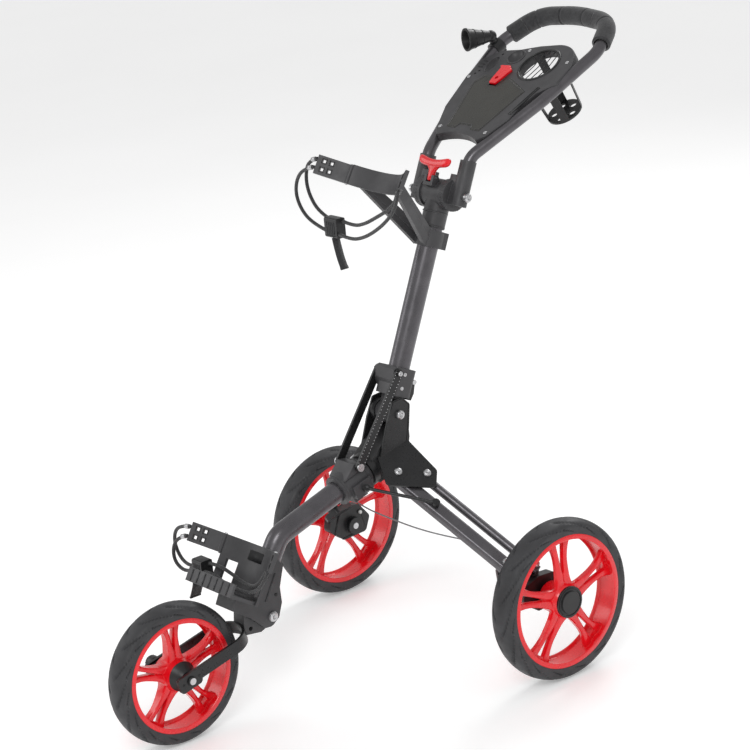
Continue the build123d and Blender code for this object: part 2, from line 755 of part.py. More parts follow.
LEVER_PIVOT = mast_yz(HEAD + 22, 28)
with BuildPart() as release_lever:
    with BuildSketch(Plane.YZ.offset(-6)):
        with Locations(LEVER_PIVOT):
            Circle(6)
        with BuildLine():
            Polyline(mast_yz(HEAD + 20, 33), mast_yz(HEAD + 50, 34), mast_yz(HEAD + 50, 22), mast_yz(HEAD + 24, 22),
                     close=True)
        make_face()
    extrude(amount=12)
    with BuildSketch(Plane(origin=mast_at(HEAD + 40, 28), x_dir=(1, 0, 0), z_dir=MAST_FRONT).offset(-5)):
        with BuildLine():
            Polyline((-42, 14), (-20, 2), (-7, -10), (7, -10), (20, 2), (42, 14), (42, 22), (22, 16), (0, 12),
                     (-22, 16), (-42, 22), close=True)
        make_face()
    extrude(amount=10)
    with BuildSketch(Plane.YZ.offset(-7)):
        with Locations(LEVER_PIVOT):
            Circle(2 + FIT)
    extrude(amount=14, mode=Mode.SUBTRACT)
save(release_lever.part, "release_lever")

with BuildPart() as handle_pivot_bolt:
    with BuildSketch(Plane.YZ.offset(-72)):
        with Locations(HANDLE_PIVOT):
            Circle(5)
    extrude(amount=144)
    for way in (1, -1):
        with BuildSketch(Plane(origin=at(69 * way + 1.4 * way, HANDLE_PIVOT), z_dir=(way, 0, 0))):
            Circle(8)
        extrude(amount=5)
group([latch_pin.part, x_pin(LEVER_PIVOT, -12, 12, 2), handle_pivot_bolt.part], "mast_pins")

# ================================================================ handle

HANDLE_TUBE_R = 11
HANDLE_BENDS = [40, 200, 60, 60, 250, 60, 60, 200, 40]
SOCKET_X = 54
HEAD_TOP = mast_at(HEAD)
socket_start = mast_at(HEAD + 14, 0, SOCKET_X)
socket_bend = mast_at(HEAD + 70, 0, SOCKET_X + 1)
half_loop = [socket_start, socket_bend, handle_at(104, 125), handle_at(127, 262), handle_at(92, 338)]
loop = half_loop + [handle_at(0, 350)] + [Vector(-p.X, p.Y, p.Z) for p in reversed(half_loop)]
save(bent(loop, HANDLE_BENDS, HANDLE_TUBE_R, HANDLE_TUBE_R - 1.5), "handle_tube")

grip_start = handle_at(118.6, 280.2)
grip_line = [grip_start, handle_at(92, 338), handle_at(0, 350), handle_at(-92, 338), handle_at(-118.6, 280.2)]
save(bent(grip_line, [60, 250, 60], 17, HANDLE_TUBE_R), "handle_grip")
handle_solid = bent(loop, HANDLE_BENDS, HANDLE_TUBE_R)


def handle_socket():
    """Left socket: a sleeve on the handle tube, with the toothed hinge disc beside it."""
    with BuildPart() as made:
        with BuildSketch(Plane(origin=mast_at(HEAD - 17, 0, SOCKET_X), x_dir=(1, 0, 0), z_dir=MAST)):
            Circle(14.5)
        extrude(amount=80)
        with BuildSketch(Plane.YZ.offset(DISC_X + RUN)):
            with Locations(HANDLE_PIVOT):
                Circle(DISC_R)
        extrude(amount=9)
        with BuildSketch(Plane.YZ.offset(DISC_X + RUN)):
            with BuildLine():
                Polyline(mast_yz(HEAD - 17, -14), mast_yz(HEAD + 36, -14), mast_yz(HEAD + 36, 12), mast_yz(HEAD - 17, 14),
                         close=True)
            make_face()
        extrude(amount=SOCKET_X - DISC_X)
        with BuildSketch(Plane(origin=at(SOCKET_X, HANDLE_PIVOT), z_dir=(1, 0, 0))):
            Circle(9)
        extrude(amount=16)
        add(handle_solid, mode=Mode.SUBTRACT)
        with BuildSketch(Plane.YZ.offset(DISC_X)):
            with Locations(HANDLE_PIVOT):
                Circle(5 + FIT)
        extrude(amount=60, mode=Mode.SUBTRACT)
    return made.part


socket_left = handle_socket()
group([socket_left, mirrored(socket_left)], "handle_sockets")

# ---------------------------------------------------------------- console

console_plane = Plane(origin=handle_at(0, 0), x_dir=(1, 0, 0), z_dir=HANDLE_UP)
CONSOLE_TOP = 13
CONSOLE_BOTTOM = -4
CUP = (38, 200)
CUP_R = 41
TEE_POCKET = (-76, 188)
BALL_BOWL = (-34, 213)
LID = [(-44, 22), (-22, 22), (-18, 32), (14, 32), (18, 22), (42, 22), (63, 130), (2, 158), (-13, 158), (-17, 135),
       (-39, 135), (-41, 158), (-68, 158), (-80, 138)]
with BuildPart() as console:
    with BuildSketch(console_plane.offset(CONSOLE_BOTTOM)):
        with BuildLine():
            Polyline((52, 0), (66, 14), (84, 62), (82, 96), (92, 132), (118, 160), (116, 205), (104, 228))
            ThreePointArc((104, 228), (76, 252), (38, 256))
            Polyline((38, 256), (0, 248), (-40, 234), (-84, 226), (-112, 200), (-112, 150), (-94, 70), (-66, 14),
                     (-52, 0))
            ThreePointArc((-52, 0), (0, 12), (52, 0))
        make_face()
        with Locations(CUP):
            Circle(CUP_R, mode=Mode.SUBTRACT)
        with Locations(TEE_POCKET):
            Ellipse(11, 21, rotation=8, mode=Mode.SUBTRACT)
    extrude(amount=CONSOLE_TOP - CONSOLE_BOTTOM)
    fillet(console.faces().sort_by(Axis(handle_at(0, 0), HANDLE_UP))[-1].outer_wire().edges(), 2)
    with BuildSketch(console_plane.offset(CONSOLE_TOP - 2.4)):
        with BuildLine():
            Polyline(*LID, close=True)
        make_face()
        offset(amount=0.5)
    extrude(amount=5, mode=Mode.SUBTRACT)
    with BuildSketch(console_plane.offset(CONSOLE_TOP - 12)):
        with BuildLine():
            Polyline((-36, 38), (36, 38), (54, 122), (0, 148), (-62, 148), (-70, 134), close=True)
        make_face()
    extrude(amount=20, mode=Mode.SUBTRACT)
    with Locations(console_plane.offset(CONSOLE_TOP + 9) * Location((*BALL_BOWL, 0))):
        Sphere(19, mode=Mode.SUBTRACT)
    with BuildSketch(console_plane.offset(CONSOLE_BOTTOM)):
        with Locations((-92, 168), (-96, 160), (-72, 216)):
            Circle(2.6)
    extrude(amount=30, mode=Mode.SUBTRACT)
    add(handle_solid, mode=Mode.SUBTRACT)
console_body = console.part.solids().sort_by(SortBy.VOLUME)[-1]
save(Part(console_body.wrapped), "console")

with BuildPart() as console_lid:
    with BuildSketch(console_plane.offset(CONSOLE_TOP - 2.2)):
        with BuildLine():
            Polyline(*LID, close=True)
        make_face()
        fillet(vertices(), 1.5)
    extrude(amount=2.6)
save(console_lid.part, "console_lid")

with BuildPart() as card_clip:
    with BuildSketch(console_plane.offset(CONSOLE_TOP + RUN)):
        with BuildLine():
            Polyline((-40, 178), (-48, 184), (-22, 186), (-10, 176), (-16, 150), (-20, 138), (-36, 138), (-38, 150),
                     close=True)
        make_face()
        fillet(vertices(), 2)
        with Locations((-28, 152)):
            Circle(3.6, mode=Mode.SUBTRACT)
    extrude(amount=4)
save(card_clip.part, "card_clip")

with BuildPart() as cup_basket:
    with BuildSketch(console_plane.offset(CONSOLE_TOP - 5)):
        with Locations(CUP):
            Circle(CUP_R)
            Circle(CUP_R - 3, mode=Mode.SUBTRACT)
    extrude(amount=4)
    with BuildSketch(console_plane.offset(-98)):
        with Locations(CUP):
            Circle(33)
            with PolarLocations(20, 5):
                Circle(6.5, mode=Mode.SUBTRACT)
    extrude(amount=4)
    for turn in (45, 135, 225, 315):
        spoke = Vector(cos(radians(turn)), sin(radians(turn)))
        foot = handle_at(CUP[0] + 31.5 * spoke.X, CUP[1] + 31.5 * spoke.Y, -98)
        top = handle_at(CUP[0] + 38.4 * spoke.X, CUP[1] + 38.4 * spoke.Y, CONSOLE_TOP - 3)
        across = console_plane.x_dir * -spoke.Y + console_plane.y_dir * spoke.X
        with BuildSketch(Plane(origin=foot, x_dir=across, z_dir=top - foot)):
            Rectangle(15, 2)
        extrude(amount=(top - foot).length)
save(cup_basket.part, "cup_basket")

HOLDER_BASE = handle_at(-124, 246)
HOLDER_NECK = HOLDER_BASE + HANDLE_UP * 26
HOLDER_DIR = Vector(-0.3, -0.93, 0).normalized()
with BuildPart() as umbrella_holder:
    with BuildSketch(Plane(origin=HOLDER_BASE + HANDLE_UP * (14 + RUN), z_dir=HANDLE_UP)):
        Circle(8)
    extrude(amount=12)
    with Locations(HOLDER_NECK):
        Sphere(10.5)
    with BuildSketch(Plane(origin=HOLDER_NECK, z_dir=HOLDER_DIR)):
        Circle(9)
    with BuildSketch(Plane(origin=HOLDER_NECK + HOLDER_DIR * 50, z_dir=HOLDER_DIR)):
        Circle(21)
    loft()
    with BuildSketch(Plane(origin=HOLDER_NECK + HOLDER_DIR * 12, z_dir=HOLDER_DIR)):
        Circle(8.5)
    with BuildSketch(Plane(origin=HOLDER_NECK + HOLDER_DIR * 50.1, z_dir=HOLDER_DIR)):
        Circle(18)
    loft(mode=Mode.SUBTRACT)
    with BuildSketch(Plane(origin=HOLDER_BASE + HANDLE_UP * 14, z_dir=HANDLE_UP)):
        Circle(3 + FIT)
    extrude(amount=8, mode=Mode.SUBTRACT)
save(umbrella_holder.part, "umbrella_holder")

with BuildPart() as holder_clamp:
    with BuildSketch(Plane(origin=HOLDER_BASE - HANDLE * 10, x_dir=(1, 0, 0), z_dir=HANDLE)):
        Circle(14)
        with Locations((0, 10)):
            Rectangle(18, 8)
    extrude(amount=20)
    with BuildSketch(Plane(origin=HOLDER_BASE + HANDLE_UP * 12, z_dir=HANDLE_UP)):
        Circle(3)
    extrude(amount=8)
    add(handle_solid, mode=Mode.SUBTRACT)
save(holder_clamp.part, "holder_clamp")

# ================================================================ bag cradles


def cradle_plane(origin):
    """Looking down the bag's axis: X across, local Y towards the bag."""
    return Plane(origin=at(0, origin), x_dir=(1, 0, 0), z_dir=BAG * -1)


def shell_sketch(plane, thickness):
    with BuildSketch(plane) as drawn:
        with Locations((0, CRADLE_R)):
            Circle(CRADLE_R + thickness)
            Circle(CRADLE_R, mode=Mode.SUBTRACT)
        Rectangle(2 * CRADLE_HALF, 60, mode=Mode.INTERSECT)
    return drawn.sketch


WING_TURN = degrees(atan2(CRADLE_HALF, sqrt(CRADLE_R ** 2 - CRADLE_HALF ** 2)))
WING_ROOT = CRADLE_R - sqrt((CRADLE_R + 2.5) ** 2 - CRADLE_HALF ** 2)


def wing(origin, drop):
    """Left wing of a cradle: a flat arm hinged on the shell's edge, with four square windows."""
    plane = cradle_plane(origin).offset(drop)
    with BuildPart() as made:
        with BuildSketch(plane):
            with Locations(Location((CRADLE_HALF + 1, WING_ROOT, 0), (0, 0, WING_TURN))):
                with Locations((WING_LENGTH / 2 + 2, 0)):
                    Rectangle(WING_LENGTH, 7)
                with Locations((3.5, 0)):
                    Circle(5)
        extrude(amount=WING_HEIGHT)
        for along, down in ((38, 9), (38, 24), (52, 9), (52, 24)):
            across = Vector(cos(radians(WING_TURN)), sin(radians(WING_TURN)))
            spot = plane.from_local_coords(Vector(CRADLE_HALF + 1 + along * across.X, WING_ROOT + along * across.Y, down))
            normal = (plane.x_dir * -across.Y + plane.y_dir * across.X).normalized()
            with BuildSketch(Plane(origin=spot - normal * 6, x_dir=BAG, z_dir=normal)):
                Rectangle(6, 6)
            extrude(amount=12, mode=Mode.SUBTRACT)
    return made.part


lower_wing = wing(LOWER_CRADLE, 0)
group([lower_wing, mirrored(lower_wing)], "lower_wings")
upper_wing = wing(UPPER_CRADLE, 0)
group([upper_wing, mirrored(upper_wing)], "upper_wings")

lower_plane = cradle_plane(LOWER_CRADLE)
SHELL_DEPTH = 96
with BuildPart() as lower_cradle:
    extrude(shell_sketch(lower_plane, 5), amount=SHELL_DEPTH, dir=lower_plane.z_dir)
    with BuildSketch(lower_plane.offset(SHELL_DEPTH - 6)):
        with Locations((0, CRADLE_R)):
            Circle(CRADLE_R + 2)
        with Locations((0, 38)):
            Rectangle(130, 80, mode=Mode.INTERSECT)
    extrude(amount=6)
    with BuildSketch(lower_plane.offset(SHELL_DEPTH - 24)):
        with Locations((0, 76)):
            Rectangle(130, 5)
    extrude(amount=24)
    with BuildSketch(lower_plane.offset(18)):
        with Locations((0, -16)):
            Rectangle(44, 30)
    extrude(amount=48)
    with BuildSketch(lower_plane.offset(-1)):
        with Locations((0, CRADLE_R)):
            Circle(CRADLE_R)
    extrude(amount=SHELL_DEPTH - 5, mode=Mode.SUBTRACT)
    with BuildSketch(Plane(origin=lower_plane.from_local_coords(Vector(0, -40, 62)), x_dir=(1, 0, 0),
                           z_dir=BAG_FRONT)):
        with Locations((-46, 0), (46, 0)):
            Rectangle(22, 44)
    extrude(amount=90, mode=Mode.SUBTRACT)
    with BuildSketch(lower_plane.offset(SHELL_DEPTH - 24)):
        with Locations((0, 76)):
            Rectangle(130, 5)
    extrude(amount=24)
    add(front_tube_solid, mode=Mode.SUBTRACT)
    for piece in (lower_wing, mirrored(lower_wing)):
        add(piece, mode=Mode.SUBTRACT)
save(lower_cradle.part, "lower_cradle")
save(knuckle.part - lower_cradle.part, "knuckle")

upper_plane = cradle_plane(UPPER_CRADLE)
with BuildPart() as upper_cradle:
    extrude(shell_sketch(upper_plane.offset(-2), 5), amount=WING_HEIGHT + 2, dir=upper_plane.z_dir)
    for piece in (upper_wing, mirrored(upper_wing)):
        add(piece, mode=Mode.SUBTRACT)
save(upper_cradle.part, "upper_cradle")

COLLAR_LOW = HEAD - 96
COLLAR_HIGH = HEAD - 40
with BuildPart() as upper_bracket:
    with BuildSketch(mast_plane(COLLAR_LOW)):
        Circle(TUBE_R + 6)
        with Locations((0, 12)):
            Rectangle(40, 26)
    extrude(amount=COLLAR_HIGH - COLLAR_LOW - 26)
    for way in (1, -1):
        for low, lean in ((COLLAR_LOW + 6, 30), (COLLAR_HIGH - 34, 4)):
            start = mast_at(low, 16, way * 12)
            end = upper_plane.from_local_coords(Vector(way * 50, 10, 18 + lean * 0.2))
            with BuildSketch(Plane(origin=start, x_dir=(1, 0, 0), z_dir=end - start)):
                Rectangle(10, 14)
            extrude(amount=(end - start).length)
    with BuildSketch(upper_plane.offset(-20)):
        with Locations((0, CRADLE_R)):
            Circle(CRADLE_R + 5)
    extrude(amount=90, mode=Mode.SUBTRACT)
    with BuildSketch(mast_plane(COLLAR_LOW - 5)):
        Circle(TUBE_R)
    extrude(amount=90, mode=Mode.SUBTRACT)
save(upper_bracket.part, "upper_bracket")

# ---------------------------------------------------------------- elastic cords, buckles and tails

UPPER_ROUTES = {
    "upper_cord_a": [(-119, 38, 891), (-145, 38, 884), (-160, 40, 858), (-162, 42, 830), (-150, 44, 804),
                     (-130, 45, 789), (-106, 45, 781)],
    "upper_cord_b": [(-119, 29, 878), (-146, 26, 872), (-170, 26, 850), (-178, 27, 820), (-166, 30, 790),
                     (-140, 33, 772), (-106, 34, 764)],
    "upper_cord_c": [(-72, 45, 783), (-44, 46, 778), (-12, 46, 786), (22, 46, 802), (54, 46, 818), (78, 47, 836),
                     (84, 47, 855)],
    "upper_cord_d": [(-72, 34, 762), (-42, 34, 757), (-6, 34, 764), (32, 34, 782), (68, 34, 806), (94, 35, 834),
                     (100, 36, 861)],
}
LOWER_ROUTES = {
    "lower_cord_a": [(-119, -311, 314), (-150, -312, 309), (-175, -310, 290), (-181, -308, 262), (-164, -308, 240),
                     (-135, -310, 236), (-100, -312, 244)],
    "lower_cord_b": [(-119, -320, 300), (-144, -324, 292), (-160, -326, 270), (-157, -328, 247), (-138, -327, 235),
                     (-118, -325, 236), (-100, -323, 242)],
    "lower_cord_c": [(-72, -312, 258), (-42, -313, 262), (-12, -308, 252), (16, -306, 242), (46, -308, 243),
                     (72, -309, 258), (84, -303, 279)],
    "lower_cord_d": [(-72, -324, 246), (-42, -326, 250), (-8, -326, 241), (24, -325, 238), (60, -322, 239),
                     (88, -316, 258), (100, -312, 285)],
}
for routes, label in ((UPPER_ROUTES, "upper_cords"), (LOWER_ROUTES, "lower_cords")):
    group([cord(route, strand) for strand, route in routes.items()], label)

with BuildPart() as upper_buckle:
    with BuildSketch(Plane(origin=(-106, 39, 772), x_dir=(0, 0, 1), z_dir=(1, 0, 0))):
        RectangleRounded(36, 20, 4)
    extrude(amount=34)
save(upper_buckle.part, "upper_buckle")
with BuildPart() as lower_buckle:
    with BuildSketch(Plane(origin=(-100, -318, 250), x_dir=(0, 0, 1), z_dir=(1, 0, 0))):
        RectangleRounded(30, 24, 4)
    extrude(amount=28)
save(lower_buckle.part, "lower_buckle")


def tail(points, y_from, y_to):
    """A hanging end of webbing, drawn from in front and given its width in Y."""
    with BuildPart() as made:
        with BuildSketch(Plane.XZ.offset(-y_to)):
            with BuildLine() as centre:
                Spline(*points)
            trace(line_width=2.4)
        extrude(amount=y_to - y_from)
    return made.part


save(tail([(-90, 754), (-86, 736), (-80, 716), (-72, 698)], 31, 47), "upper_strap")
save(tail([(-80, 235), (-84, 222), (-92, 206), (-97, 196)], -344, -322), "lower_strap")

# ================================================================ brake cable

CABLE_ROUTE = [(190, 83, 236), (172, 86, 231), (122, 92, 222), (66, 97, 214), (10, 103, 207), (-48, 111, 201),
               (-106, 121, 196), (-162, 130, 192), (-210, 138, 190), (-249, 146, 191)]
save(cord(CABLE_ROUTE, "brake_cable", 1.4), "brake_cable")
print("done")
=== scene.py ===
import bmesh
import bpy
import json
from math import atan2, cos, exp, pi, radians, sin
from mathutils import Matrix, Vector

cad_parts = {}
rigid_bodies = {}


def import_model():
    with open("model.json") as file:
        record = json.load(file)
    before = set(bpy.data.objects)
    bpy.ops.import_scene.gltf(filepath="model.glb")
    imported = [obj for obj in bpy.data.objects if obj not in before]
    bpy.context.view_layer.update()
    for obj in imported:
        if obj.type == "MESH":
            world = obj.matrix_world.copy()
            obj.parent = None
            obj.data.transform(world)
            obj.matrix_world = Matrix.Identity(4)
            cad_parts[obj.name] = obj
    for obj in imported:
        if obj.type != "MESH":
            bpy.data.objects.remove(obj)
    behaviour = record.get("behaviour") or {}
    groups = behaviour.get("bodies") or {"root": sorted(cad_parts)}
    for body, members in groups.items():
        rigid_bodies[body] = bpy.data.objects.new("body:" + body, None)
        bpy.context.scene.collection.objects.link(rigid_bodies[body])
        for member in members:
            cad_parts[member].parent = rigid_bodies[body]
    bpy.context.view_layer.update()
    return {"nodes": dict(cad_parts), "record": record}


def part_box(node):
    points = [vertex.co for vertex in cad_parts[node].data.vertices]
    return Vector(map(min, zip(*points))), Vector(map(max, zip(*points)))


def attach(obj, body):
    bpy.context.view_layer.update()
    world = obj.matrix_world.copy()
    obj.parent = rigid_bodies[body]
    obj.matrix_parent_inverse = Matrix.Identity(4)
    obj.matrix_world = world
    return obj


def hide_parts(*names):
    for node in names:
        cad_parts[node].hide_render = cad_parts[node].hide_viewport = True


# Folding golf push trolley.  Metres.  +X is the trolley's left, -Y is forward, +Z is up.

for leftover in list(bpy.data.objects):
    bpy.data.objects.remove(leftover)
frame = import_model()

# ================================================================ places taken from the frame

JOINTS = {j["name"]: j for j in frame["record"]["behaviour"]["joints"]}


def joint_point(name):
    return Vector(JOINTS[name]["pos_m"])


def slope(angle):
    """Unit vector in the YZ plane, angle in degrees from +Y towards +Z."""
    return Vector((0, cos(radians(angle)), sin(radians(angle))))


X = Vector((1, 0, 0))
Z = Vector((0, 0, 1))
MAST_FOOT = joint_point("mast_fold")
HANDLE_HINGE = joint_point("handle_fold")
MAST = (HANDLE_HINGE - MAST_FOOT).normalized()
MAST_FRONT = X.cross(MAST)
HEAD = (HANDLE_HINGE - MAST_FOOT).length
TUBE_BACK = -Vector(JOINTS["slider_travel"]["axis"])
LEG_NORMAL = -Vector(JOINTS["lower_leg_left_fold"]["axis"])
LEG_INNER = joint_point("lower_leg_left_fold")
LEG_OUTER = joint_point("bracket_left_turn")
LEG_SPACING = joint_point("upper_leg_left_fold") - LEG_INNER
HANDLE = slope(29.5)
HANDLE_UP = slope(119.5)
CONSOLE_EDGE = Vector((0, 0.260, 0.887))
CONSOLE_TOP = 0.013
BAG = slope(58)
BAG_FRONT = slope(148)
REAR_AXLE = joint_point("rear_wheel_left_spin")
FRONT_AXLE = joint_point("front_wheel_spin")
KNUCKLE = joint_point("fork_fold")
STRUT_FOOT = joint_point("strut_left_swing")
WHEEL_HALF = 0.023
FORK_SLOPE = 13


def mast_at(along, front=0, x=0):
    return MAST_FOOT + MAST * along + MAST_FRONT * front + X * x


def handle_at(x, along, up=0):
    return CONSOLE_EDGE + X * x + HANDLE * along + HANDLE_UP * up


def both_sides(point):
    """A point and its mirror image on the trolley's right, each with its side's name."""
    return (("left", 1, Vector(point)), ("right", -1, Vector((-point[0], point[1], point[2]))))

def on_side(vector, sign):
    """The left side's vector for sign 1, its mirror image for -1."""
    return Vector((vector.x * sign, vector.y, vector.z))


# ================================================================ camera

CAMERA_AT = Vector((3.265, -2.475, 1.792))
CAMERA_AZIMUTH = radians(52.53)
CAMERA_ELEVATION = radians(17.18)
CAMERA_ROLL = radians(-5.44)

back = Vector((sin(CAMERA_AZIMUTH) * cos(CAMERA_ELEVATION), -cos(CAMERA_AZIMUTH) * cos(CAMERA_ELEVATION),
               sin(CAMERA_ELEVATION)))
level = Z.cross(back).normalized()
upright = back.cross(level)
right = level * cos(CAMERA_ROLL) + upright * sin(CAMERA_ROLL)
up = upright * cos(CAMERA_ROLL) - level * sin(CAMERA_ROLL)
camera_data = bpy.data.cameras.new("camera")
camera_data.lens = 118.6
camera_data.sensor_width = 36
camera = bpy.data.objects.new("camera", camera_data)
turn = Matrix((right, up, back)).transposed().to_4x4()
camera.matrix_world = Matrix.Translation(CAMERA_AT) @ turn
bpy.context.collection.objects.link(camera)
bpy.context.scene.camera = camera

# ================================================================ materials


class Shader:
    """A node material under construction, with its coordinates in metres."""

    def __init__(self, name):
        self.material = bpy.data.materials.new(name)
        self.material.use_nodes = True
        self.nodes = self.material.node_tree.nodes
        self.links = self.material.node_tree.links
        self.surface = self.nodes["Principled BSDF"]
        self.place = self.nodes.new("ShaderNodeTexCoord").outputs["Object"]

    def link(self, start, end):
        self.links.new(start, end)

    def noise(self, scale, detail=3, stretch=None):
        node = self.nodes.new("ShaderNodeTexNoise")
        node.inputs["Scale"].default_value = scale
        node.inputs["Detail"].default_value = detail
        place = self.place
        if stretch:
            mapping = self.nodes.new("ShaderNodeMapping")
            mapping.inputs["Scale"].default_value = stretch
            self.link(place, mapping.inputs["Vector"])
            place = mapping.outputs["Vector"]
        self.link(place, node.inputs["Vector"])
        return node.outputs["Fac"]

    def spread(self, value, low, high):
        """Maps a noise's middle range to low..high."""
        node = self.nodes.new("ShaderNodeMapRange")
        node.inputs["From Min"].default_value = 0.3
        node.inputs["From Max"].default_value = 0.7
        node.inputs["To Min"].default_value = low
        node.inputs["To Max"].default_value = high
        self.link(value, node.inputs["Value"])
        return node.outputs["Result"]

    def mix(self, factor, first, second):
        node = self.nodes.new("ShaderNodeMix")
        node.data_type = "RGBA"
        for socket, value in ((node.inputs[6], first), (node.inputs[7], second)):
            if isinstance(value, tuple):
                socket.default_value = (*value, 1)
            else:
                self.link(value, socket)
        self.link(factor, node.inputs[0])
        return node.outputs[2]

    def edge(self, width):
        """1 along rounded-over edges, 0 on flats."""
        bevel = self.nodes.new("ShaderNodeBevel")
        bevel.inputs["Radius"].default_value = width
        geometry = self.nodes.new("ShaderNodeNewGeometry")
        dot = self.nodes.new("ShaderNodeVectorMath")
        dot.operation = "DOT_PRODUCT"
        self.link(bevel.outputs["Normal"], dot.inputs[0])
        self.link(geometry.outputs["Normal"], dot.inputs[1])
        found = self.nodes.new("ShaderNodeMapRange")
        found.inputs["From Min"].default_value = 0.99
        found.inputs["From Max"].default_value = 0.85
        self.link(dot.outputs["Value"], found.inputs["Value"])
        return found.outputs["Result"]

    def bump(self, height, distance, strength=1.0, rounding=0.0008):
        node = self.nodes.new("ShaderNodeBump")
        node.inputs["Distance"].default_value = distance
        node.inputs["Strength"].default_value = strength
        self.link(height, node.inputs["Height"])
        if rounding:
            bevel = self.nodes.new("ShaderNodeBevel")
            bevel.inputs["Radius"].default_value = rounding
            self.link(bevel.outputs["Normal"], node.inputs["Normal"])
        self.link(node.outputs["Normal"], self.surface.inputs["Normal"])

    def set(self, **sockets):
        for name, value in sockets.items():
            self.surface.inputs[name.replace("_", " ")].default_value = value


def varied(shader, colour, amount, scale, wear=None, edge_width=0.0009):
    """Mottled base colour, a little paler where edges wear."""
    dark = tuple(c * (1 - amount) for c in colour)
    pale = tuple(min(1, c * (1 + amount)) for c in colour)
    base = shader.mix(shader.spread(shader.noise(scale), 0, 1), dark, pale)
    if wear:
        base = shader.mix(shader.edge(edge_width), base, wear)
    shader.link(base, shader.surface.inputs["Base Color"])


def moulded(name, colour, roughness, grain=1400, depth=0.00006, wear=None):
    """Injection-moulded plastic with a fine spark-eroded grain."""
    shader = Shader(name)
    varied(shader, colour, 0.14, 28, wear)
    shader.link(shader.spread(shader.noise(70), roughness - 0.07, roughness + 0.07),
                shader.surface.inputs["Roughness"])
    shader.bump(shader.noise(grain, 2), depth, 0.7)
    shader.set(IOR=1.49)
    return shader.material


def gloss(name, colour):
    """Glossy coloured plastic with faint flow marks."""
    shader = Shader(name)
    varied(shader, colour, 0.07, 18, tuple(min(1, c * 1.35 + 0.03) for c in colour))
    shader.link(shader.spread(shader.noise(45), 0.2, 0.34), shader.surface.inputs["Roughness"])
    shader.bump(shader.noise(120, 2), 0.00012, 0.35)
    shader.set(IOR=1.5, Coat_Weight=0.35, Coat_Roughness=0.08)
    return shader.material


def painted(name, colour, roughness, metallic, stretch=(1, 1, 1)):
    """Powder-coated or anodised metal with a fine orange peel."""
    shader = Shader(name)
    varied(shader, colour, 0.1, 40, tuple(min(1, c * 1.7 + 0.04) for c in colour), 0.0006)
    shader.link(shader.spread(shader.noise(260, 3, stretch), roughness - 0.06, roughness + 0.08),
                shader.surface.inputs["Roughness"])
    shader.bump(shader.noise(1100, 2), 0.00004, 0.6, 0.0006)
    shader.set(Metallic=metallic)
    return shader.material


def steel(name):
    """Zinc-plated steel with fine turning marks."""
    shader = Shader(name)
    varied(shader, (0.55, 0.55, 0.56), 0.12, 120)
    shader.link(shader.spread(shader.noise(900, 3, (1, 6, 6)), 0.2, 0.4), shader.surface.inputs["Roughness"])
    shader.bump(shader.noise(1500, 2, (1, 8, 8)), 0.00003, 0.5, 0.0005)
    shader.set(Metallic=1.0)
    return shader.material


def rubber(name):
    """Solid foam tyre: satin, with dusty patches."""
    shader = Shader(name)
    varied(shader, (0.034, 0.034, 0.037), 0.25, 24, (0.07, 0.07, 0.073), 0.0012)
    shader.link(shader.spread(shader.noise(60), 0.48, 0.68), shader.surface.inputs["Roughness"])
    shader.bump(shader.noise(700, 4), 0.00014, 0.7, 0.0006)
    return shader.material


def foam(name):
    """Closed-cell grip foam with open pores."""
    shader = Shader(name)
    varied(shader, (0.03, 0.03, 0.032), 0.3, 160)
    cells = shader.nodes.new("ShaderNodeTexVoronoi")
    cells.inputs["Scale"].default_value = 900
    shader.link(shader.place, cells.inputs["Vector"])
    shader.bump(cells.outputs["Distance"], 0.00025, 0.8, 0)
    shader.link(shader.spread(shader.noise(300), 0.7, 0.9), shader.surface.inputs["Roughness"])
    shader.set(Sheen_Weight=0.2)
    return shader.material


def woven(name, colour, ribs, across):
    """Braided or ribbed cloth: a wave across the weave, broken by thread noise."""
    shader = Shader(name)
    varied(shader, colour, 0.35, 420)
    wave = shader.nodes.new("ShaderNodeTexWave")
    wave.bands_direction = across
    wave.inputs["Scale"].default_value = ribs
    wave.inputs["Distortion"].default_value = 1.5
    wave.inputs["Detail Scale"].default_value = 4
    shader.link(shader.place, wave.inputs["Vector"])
    shader.bump(wave.outputs["Fac"], 0.0004, 0.9, 0)
    shader.link(shader.spread(shader.noise(800), 0.65, 0.9), shader.surface.inputs["Roughness"])
    shader.set(Sheen_Weight=0.3, Sheen_Roughness=0.4)
    return shader.material


TYRE = rubber("tyre")
RED = gloss("red_gloss", (0.80, 0.004, 0.012))
BLACK = moulded("black_plastic", (0.013, 0.013, 0.014), 0.4, wear=(0.04, 0.04, 0.043))
CHARCOAL = moulded("charcoal_plastic", (0.05, 0.049, 0.052), 0.46, wear=(0.11, 0.11, 0.115))
PANEL = moulded("panel", (0.026, 0.025, 0.02), 0.24, 500, 0.00003, wear=(0.12, 0.12, 0.11))
GREY_TUBE = painted("grey_tube", (0.115, 0.11, 0.118), 0.3, 0.75, (1, 0.3, 0.3))
BLACK_METAL = painted("black_metal", (0.02, 0.02, 0.021), 0.3, 0.35)
STEEL = steel("steel")
FOAM = foam("foam")
ELASTIC = woven("elastic", (0.03, 0.03, 0.032), 380, "DIAGONAL")
WEBBING = woven("webbing", (0.035, 0.035, 0.038), 300, "Z")
CABLE = moulded("cable", (0.22, 0.22, 0.23), 0.4)
WHITE = moulded("white_plastic", (0.7, 0.7, 0.68), 0.4)
# Painted shade: a near-black finish laid over holes, slots and recesses to stand for the shade inside them.
RECESS_SHADE = moulded("painted_recess_shade", (0.008, 0.008, 0.009), 0.6)

